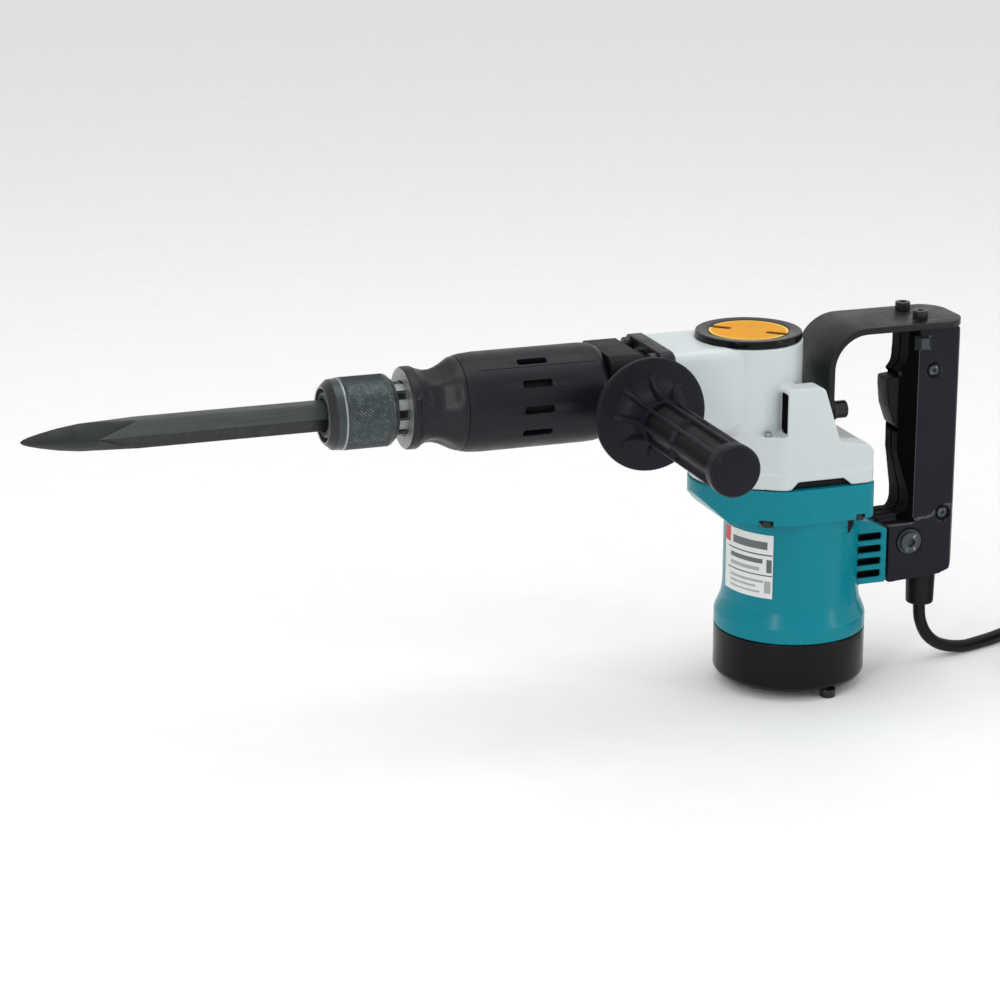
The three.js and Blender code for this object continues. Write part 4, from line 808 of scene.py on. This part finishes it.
def make_crank_cap():
    profile = rounded([(0, 218), (29.2, 218), (29.2, 223.8), (33.1, 223.8, 0.5), (33.4, 224.6, 0.6),
                       (33.2, 228.3, 0.8),
                       (32, 228.5, 0.6), (26.6, 228.1, 0.8), (25.1, 227.3, 0.3), (0, 227.3)])
    cap = build("crank_cover", lathe("z", profile, 128, (CRANK_X, 0, 0)))
    place_piece(cap, "end_cap", stands_for="crank_cap")
    label = build("cover_label", rod("z", 24.4, 227.4, 228.0, (CRANK_X, 0, 0), 128))
    rim = build("cover_label_edge", lathe("z", [(23.4, 227.5), (24.6, 227.5), (24.6, 228.1), (23.4, 228.1)],
                                          128, (CRANK_X, 0, 0)))
    for turn in (-44, 136):
        a = math.radians(turn)
        cutter = rounded([(11.5, -3.1, 2.6), (30, -3.1), (30, 3.1), (11.5, 3.1, 2.6)])
        cutter = [(CRANK_X + p * math.cos(a) - q * math.sin(a), p * math.sin(a) + q * math.cos(a))
                  for p, q in cutter]
        carve(label, prism("z", cutter, 220, 235))
        carve(rim, prism("z", cutter, 220, 235))
    place_piece(label, "orange", stands_for="cap_label")
    place_piece(rim, "yellow")


make_gear_housing()
make_crank_cap()
screw("ledge_socket", "z", (*LEDGE_SCREW, 169.3), 2.2, 2.8, 1.4, 7, 1.1, node="ledge_screw",
      look="grey_steel")

# ---------------------------------------------------------------- motor housing and end cap


def make_motor_housing():
    house = build("motor_case", prism("z", plan(0), 112.5, 135))
    side = [(-74, 135), (-74, 131), (-55, 112), (60, 112), (60, 136), (-74, 136)]
    keep(house, prism("y", side, -60, 60))
    body = rounded([(0, 33.3), (48.3, 33.3), (48.3, 42.5, 4), (44.4, 52, 7), (43.2, 60, 5),
                    (43.2, 102.5, 3), (44.4, 105.5, 3), (44.4, 114), (0, 114)], 8)
    louvre = rounded([(30, 60), (57.5, 60, 1), (57.5, 95.3, 1), (49, 99.8, 2), (38, 103.4, 1), (30, 103.4)])
    fuse(house, lathe("z", body, 160), prism("y", louvre, -21, 21))
    slots = []
    for i in range(4):
        z = 64 + 8.3 * i
        for y in (-25, 13):
            slots.append(block(34.8, y, z, 53.4, y + 12, z + 4.6))
    carve(house, *slots)
    carve(house, rod("z", 39.4, 30, 113, segments=96), rod("z", 13.3, 112, 128), rod("z", 8.5, 127, 140),
          rod("z", 9.9, 131, 140, (CRANK_X, 0, 0)))
    carve(house, *[rod("z", 5.5, 100, 115.5, (x, y, 0), 32) for x, y in MOTOR_SCREWS.values()])
    carve(house, *[rod("z", 2.4, 110, 140, (x, y, 0), 24) for x, y in MOTOR_SCREWS.values()])
    carve(house, *[rod("z", 2.4, 30, 43, (x, y, 0), 24) for x, y in CAP_SCREWS])
    soften(house, 0.75, 3)
    place_piece(house, "teal", stands_for="motor_housing", angle=70)

    # painted shade: near-black on the faces inside the louvre slots and the screw pockets
    def in_recess(c, n):
        out = abs(c.y)
        in_slot = out < 19.5 or (out < 20.2 and abs(n.y) < 0.8)
        louvres = 34.2 < c.x < 53.7 and 63 < c.z < 94.5 and out > 12.5 and in_slot
        pockets = any(math.hypot(c.x - x, c.y - y) < 5.9 and 101 < c.z < 116 for x,
                      y in MOTOR_SCREWS.values())
        return louvres or pockets

    second_look(house, "dark", in_recess)


def make_end_cap():
    profile = rounded([(0, 0), (37.2, 0), (37.8, 0.8), (45.3, 0.8, 3), (48.3, 4.4, 4), (48.3, 33, 0.7),
                       (39.4, 33), (39.4, 6), (16, 6), (16, 15), (11.4, 15), (11.4, 5), (0, 5)], 9)
    cap = build("motor_end_cap", lathe("z", profile, 160))
    carve(cap, *[rod("z", 2.4, -2, 40, (x, y, 0), 24) for x, y in CAP_SCREWS])
    place_piece(cap, "end_cap", stands_for="end_cap", angle=35)


def curved_patch(name, from_deg, to_deg, low, high, inner, outer, look, stands_for=()):
    steps = max(2, int(abs(to_deg - from_deg) / 1.5))
    arc = [math.radians(from_deg + (to_deg - from_deg) * k / steps) for k in range(steps + 1)]
    outline = [(outer * math.cos(a), outer * math.sin(a)) for a in arc]
    outline += [(inner * math.cos(a), inner * math.sin(a)) for a in reversed(arc)]
    patch = build(name, prism("z", outline, low, high))
    place_piece(patch, look, stands_for=stands_for)


def make_rating_label():
    curved_patch("label_plate", 177, 231, 61.7, 103.3, 43.55, 44.0, "white", "rating_label")
    # each bar: from and to in degrees, its lower and upper edge, its look
    bars = [
        (183, 230.5, 89.6, 90.5, "print"), (183, 230.5, 76.2, 77.0, "print"), (177.3, 186, 93, 103, "red"),
        (190, 226, 93.6, 98.6, "print"), (187, 222, 84.2, 87.2, "print"),
            (187, 219, 79.2, 81.6, "pale_print"),
        (225.5, 230, 78.6, 87.2, "print"), (187, 223, 71.6, 73.2, "pale_print"),
            (187, 216, 68.2, 69.6, "pale_print"),
        (187, 220, 64.8, 66.0, "pale_print"), (224, 229.5, 65, 73.0, "pale_print"),
    ]
    for i, (a, b, low, high, look) in enumerate(bars):
        curved_patch(f"label_bar_{i + 1}", a, b, low, high, 43.9, 44.06, look)


make_motor_housing()
make_end_cap()
make_rating_label()
for number, (x, y) in enumerate(CAP_SCREWS, 1):
    screw(f"base_socket_{number}", "z", (x, y, 0.5), 5, -5.1, 2, 40, 2.3, node=f"end_cap_screw_{number}")
for name, (x, y) in MOTOR_SCREWS.items():
    screw(f"case_socket_{name}", "z", (x, y, 115.2), 4, -4, 1.9, 30, 1.9, node=f"motor_screw_{name}")

# ---------------------------------------------------------------- rear handle


def make_strap():
    def arc(radius, first, last):
        steps = 14
        return [(37.5 + radius * math.cos(math.radians(first + (last - first) * k / steps)),
                 203 + radius * math.sin(math.radians(first + (last - first) * k / steps)))
                for k in range(steps + 1)]

    outer, inner = arc(26, 180, 90), arc(22, 90, 180)
    band = [(11.5, 162)] + outer + [(107.5, 229), (107.5, 225)] + inner + [(15.5, 162)]
    strap = build("handle_band", prism("y", band, -25, 25))
    taper = rounded([(0, -30), (107.5, -25.5, 18), (107.5, 25.5, 18), (0, 30)], 7)
    keep(strap, prism("z", taper, 150, 240))
    carve(strap, *[rod("z", 2.7, 220, 235, (TOP_BOLT_X, side * TOP_BOLT_Y, 0), 24) for _, side in SIDES])
    carve(strap, *[rod("x", 2.6, 5, 20, (0, side * SEAT_BOLT_Y, SEAT_BOLT_Z), 24) for _, side in SIDES])
    round_edges(strap, 0.8, 3, 40)
    place_piece(strap, "strap", stands_for="handle_strap", angle=40)


GRIP_OUTLINE = [(72, 224.6, 2), (103, 224.6, 3), (107, 221.5, 4), (107.3, 64, 6), (97, 60, 3),
                (60, 57.7, 2),
                (60, 94.2, 0.6), (58.2, 96.1, 0.6), (51, 99.9), (51, 101.4, 0.5), (75.6, 101.6, 9),
                (75, 114, 14),
                (68.4, 141, 16), (68, 158, 4), (68.2, 191, 1), (66.2, 194, 1), (71.2, 199.6, 3),
                (72.2, 208, 6)]
NUT_X = 79.8  # nut of a strap bolt, under the strap
NUT_Y = 16.0


def near_screw(c):
    return abs(c.y) > 14 and any(math.hypot(c.x - x, c.z - z) < 5.4 for x, z in GRIP_SCREWS.values())


def make_grip_shell(name, side):
    inner, outer = side * 0.15, side * 18
    shell = build(f"grip_{name}", prism("y", rounded(GRIP_OUTLINE, 10), *sorted((inner, outer))))
    lean = [(44, side * 20), (44, side * 9.3), (69, side * 9.3), (80.6, side * 20)]
    carve(shell, prism("z", lean, 96.5, 226))
    rear = [(103, side * 19), (108.5, side * 19), (108.5, side * 12)]
    carve(shell, prism("z", rear, 50, 226))
    waist = rounded([(50, 96.4), (62, 96.4), (90, 99.4, 6), (97, 106, 6), (112, 106), (112, 230),
                     (50, 230)])
    carve(shell, prism("y", waist, *sorted((side * 16.9, side * 21))))
    deep = side * 13.6
    for x0, z0, x1, z1 in ((79.5, 90, 103, 221), (66, 69, 103, 91)):
        carve(shell, block(x0, min(-side, deep), z0, x1, max(-side, deep), z1))
    carve(shell, block(40, -8.5, 154.5, 81, 8.5, 194.2))
    carve(shell, rod("z", 10.4, 50, 70, (93, 0, 0), 64), rod("z", 12.9, 65.6, 68.9, (93, 0, 0), 64))
    for x, z in GRIP_SCREWS.values():
        carve(shell, rod("y", 2.0, -20, 20, (x, 0, z), 24))
        carve(shell, rod("y", 4.9, *sorted((side * 15.4, side * 21)), (x, 0, z), 40))
    bracket_x, bracket_z = BRACKET_BOLT
    carve(shell, rod("y", 3.2, -20, 20, (bracket_x, 0, bracket_z), 24))
    carve(shell, rod("y", 9.2, *sorted((side * 17.0, side * 21)), (bracket_x, 0, bracket_z), 64))
    carve(shell, rod("z", 2.8, 200, 226, (TOP_BOLT_X, side * TOP_BOLT_Y, 0), 24))
    hexagon = [(NUT_X + 4.6 * math.cos(PI * i / 3), side * NUT_Y + 4.6 * math.sin(PI * i / 3))
               for i in range(6)]
    fuse(shell, prism("z", hexagon, 210.5, 218.3))
    soften(shell, 0.7, 3)
    place_piece(shell, "handle", stands_for=f"grip_shell_{name}", angle=70)
    # painted shade: near-black on the front-facing faces, between the halves and in the screw recesses;
    # painted highlight: lighter plastic on the front edge and the ledge over the bracket
    second_look(shell, "grip_front_shade", lambda c, n: c.z > 96.5 and (n.x < -0.3 or abs(c.y) < 9))
    second_look(shell, "grip_edge_highlight", lambda c, n: 100 < c.z < 219 and abs(c.y) > 15 and -0.52 < n.x < -0.14)
    second_look(shell, "grip_edge_highlight", lambda c,
                n: abs(c.y) > 16.4 and 95 < c.z < 107 and n.z > 0.3 and n.x > -0.4)
    second_look(shell, "dark", lambda c, n: abs(n.y) < 0.9 and near_screw(c))
    second_look(shell, "sleeve", lambda c,
                n: math.hypot(c.x - NUT_X, abs(c.y) - NUT_Y) < 5 and 210 < c.z < 218.8)


def make_trigger():
    outline = rounded([(60.4, 190.4, 2), (74, 191.8, 1), (80.8, 189.8, 1), (80.8, 158.2, 2),
                       (69.6, 156.7, 1), (66.2, 159.6, 3), (61.8, 172, 8), (60.5, 184, 8)], 12)
    lever = build("trigger_lever", prism("y", outline, -7.9, 7.9))
    round_edges(lever, 1.1, 3, 40)
    place_piece(lever, "trigger", "trigger", "trigger", 35)


make_strap()
for name, side in SIDES:
    make_grip_shell(name, side)
make_trigger()
for name, side in SIDES:
    screw(f"top_socket_{name}", "z", (TOP_BOLT_X, side * TOP_BOLT_Y, 229.3), 4.8, 5.5, 2.3, 18, 2.5,
          node=f"strap_top_bolt_{name}")
    screw(f"seat_socket_{name}", "x", (15.8, side * SEAT_BOLT_Y, SEAT_BOLT_Z), 6.6, 10, 2.2, 14, 2.7,
          node=f"strap_front_bolt_{name}", washer=2.2)
    screw(f"bracket_socket_{name}", "y", (BRACKET_BOLT[0], side * 17.1, BRACKET_BOLT[1]), 8.2, side * 3.6,
          2.8, 16, 3.2, node=f"bracket_bolt_{name}", washer=1.1, look="sleeve")
for name, (x, z) in GRIP_SCREWS.items():
    screw(f"shell_socket_{name}", "y", (x, -14.9, z), 3.2, -2, 1.5, 26, 1.5, node=f"grip_screw_{name}",
          look="sleeve")

# ---------------------------------------------------------------- side handle


def make_clamp():
    corners = [(-26, -26, 9), (26, -26, 3), (26, 26, 3), (-26, 26, 9)]
    outline = rounded([(a, BARREL_Z + b, r) for a, b, r in corners])
    clamp = build("handle_clamp", prism("x", outline, GRIP_X - 10.6, GRIP_X + 10.6))
    fuse(clamp, rod("y", 10.55, -59.6, -24, (GRIP_X, 0, BARREL_Z), 64))
    carve(clamp, rod("x", 22.4, -150, -100, (0, 0, BARREL_Z), 96))
    carve(clamp, block(-140, -3, 165, -100, 3, 183), rod("y", 4.6, -62, -36, (GRIP_X, 0, BARREL_Z), 32))
    round_edges(clamp, 0.8, 3, 40)
    place_piece(clamp, "clamp", "side_handle", "side_clamp", 40)


def make_side_grip():
    ribs = 8
    span = 22.0

    def bump(angle, width):
        a = (angle * ribs / (2 * PI)) % 1
        a = min(a, 1 - a) * 2 * PI / ribs
        return max(0.0, 1 - (a / width) ** 2) ** 0.5

    def shaped(angle, radius, along):
        if radius < 9 or along < -181.9 or along > -63.4:
            return radius
        flare = max(0.0, min(1.0, (along + 87) / span))
        top = 15.2 + 10.5 * (1 - math.sqrt(max(0, 1 - flare ** 2)))
        width = 0.105 * 15.2 / top * (1 + 0.5 * flare)
        rib = radius + max(0, top - radius) * bump(angle, width)
        if abs(along + 86.5) < 1.7 or abs(along + 126.5) < 1.5:
            rib = max(rib, 14.5)
        return rib

    profile = rounded([(4.7, -182.5), (4.7, -60.2), (34.8, -60.2, 0.4), (35, -62, 0.5), (34.6, -63.2, 0.5),
                       (33.2, -63.5)], closed=False)
    profile += [(31 - 1.0 * i, -63.5 - 0.06 * i) for i in range(9)]
    profile += [(22.4, -64.2), (21.4, -64.5), (20.4, -64.9), (19.4, -65.4), (18.4, -66.0), (17.4, -66.7),
                (16.4, -67.6), (15.5, -68.7), (14.7, -70.0), (14.0, -71.6), (13.4, -73.5), (12.9, -75.6),
                (12.5, -78.0), (12.2, -80.6), (12.0, -83.2)]
    for centre in (-86.5, -126.5):
        profile += [(12.0, centre + 1.75), (12.0, centre + 1.65), (12.0, centre), (12.0, centre - 1.65),
                    (11.9, centre - 1.75)]
        stop = -124.2 if centre == -86.5 else -181
        count = 12
        profile += [(11.8, centre - 3 + (stop - centre + 3) * k / count) for k in range(count + 1)]
    profile += rounded([(11.8, -181.9), (15.1, -182.0, 0.4), (15.4, -183.5, 1), (15.4, -189.6, 1.2),
                        (14.2, -191.3, 1.0), (8, -191.9), (0, -192)], closed=False)
    profile += [(0, -182.5)]
    grip = build("side_handle_grip", lathe("y", profile, 240, (GRIP_X, 0, BARREL_Z), shaped))
    place_piece(grip, "grip", "side_grip", "side_grip", 34)
    # painted shade: the core between the ribs gets the darker clamp plastic
    second_look(grip, "clamp", lambda c,
                n: -180 < c.y < -88 and (c.x - GRIP_X) ** 2 + (c.z - BARREL_Z) ** 2 < 12.6 ** 2)


make_clamp()
make_side_grip()

# ---------------------------------------------------------------- cord guard and inner parts


def make_guard():
    profile = rounded([(4.2, 36), (8.5, 36, 0.8), (9, 37.2, 0.6), (9.3, 50, 8), (9.6, 57, 2), (9.6, 65.8),
                       (12.4, 66.6), (12.4, 68.4), (4.2, 68.4)])
    guard = build("strain_relief", lathe("z", profile, 72, (93, 0, 0)))
    place_piece(guard, "rubber", stands_for="cord_guard")


make_guard()
INNER = {
    "cylinder": "bright", "piston": "bright", "striker": "bright", "impact_bolt": "bright",
         "crank_bearing": "bright",
    "crankshaft": "bright", "connecting_rod": "bright", "bearing_upper": "bright",
         "bearing_lower": "bright",
    "clamp_stud": "bright", "field_stator": "laminate", "armature": "copper", "fan": "clamp",
    "carbon_brush_1": "carbon", "carbon_brush_2": "carbon", "switch_body": "clamp",
}
for name, look in INNER.items():
    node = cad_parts[name]
    node.data.materials.clear()
    node.data.materials.append(LOOKS[look])

# ---------------------------------------------------------------- studio


def make_stage():
    mesh = bpy.data.meshes.new("floor")
    level = FLOOR_Z * MM - 0.0002
    mesh.from_pydata([(-30, -30, level), (30, -30, level), (30, 30, level), (-30, 30, level)], [],
                     [(0, 1, 2, 3)])
    floor = bpy.data.objects.new("floor", mesh)
    bpy.context.scene.collection.objects.link(floor)
    mesh.materials.append(finish("floor_paper", (0.9, 0.9, 0.9), 0.75, vary=0.01, ripple_depth=0.0,
                                 grain_depth=0.01))


def make_light(name, place, aim, size, power):
    data = bpy.data.lights.new(name, "AREA")
    data.shape = "RECTANGLE"
    data.size, data.size_y = size
    data.energy = power
    light = bpy.data.objects.new(name, data)
    light.location = place
    light.rotation_euler = (Vector(aim) - Vector(place)).to_track_quat("-Z", "Y").to_euler()
    bpy.context.scene.collection.objects.link(light)


def make_studio():
    make_stage()
    make_light("overhead", (-0.2, 0.1, 1.7), (-0.2, 0, 0.1), (1.7, 1.1), 10)
    make_light("key", (-1.6, -1.5, 1.2), (-0.15, 0, 0.12), (0.22, 1.6), 13)
    make_light("fill", (1.5, -1.4, 0.7), (0, 0, 0.12), (0.2, 1.5), 7)
    world = bpy.data.worlds.new("studio")
    world.use_nodes = True
    world.node_tree.nodes["Background"].inputs["Color"].default_value = (1, 1, 1, 1)
    world.node_tree.nodes["Background"].inputs["Strength"].default_value = 0.79
    bpy.context.scene.world = world
    bpy.context.scene.view_settings.view_transform = "Standard"


make_studio()
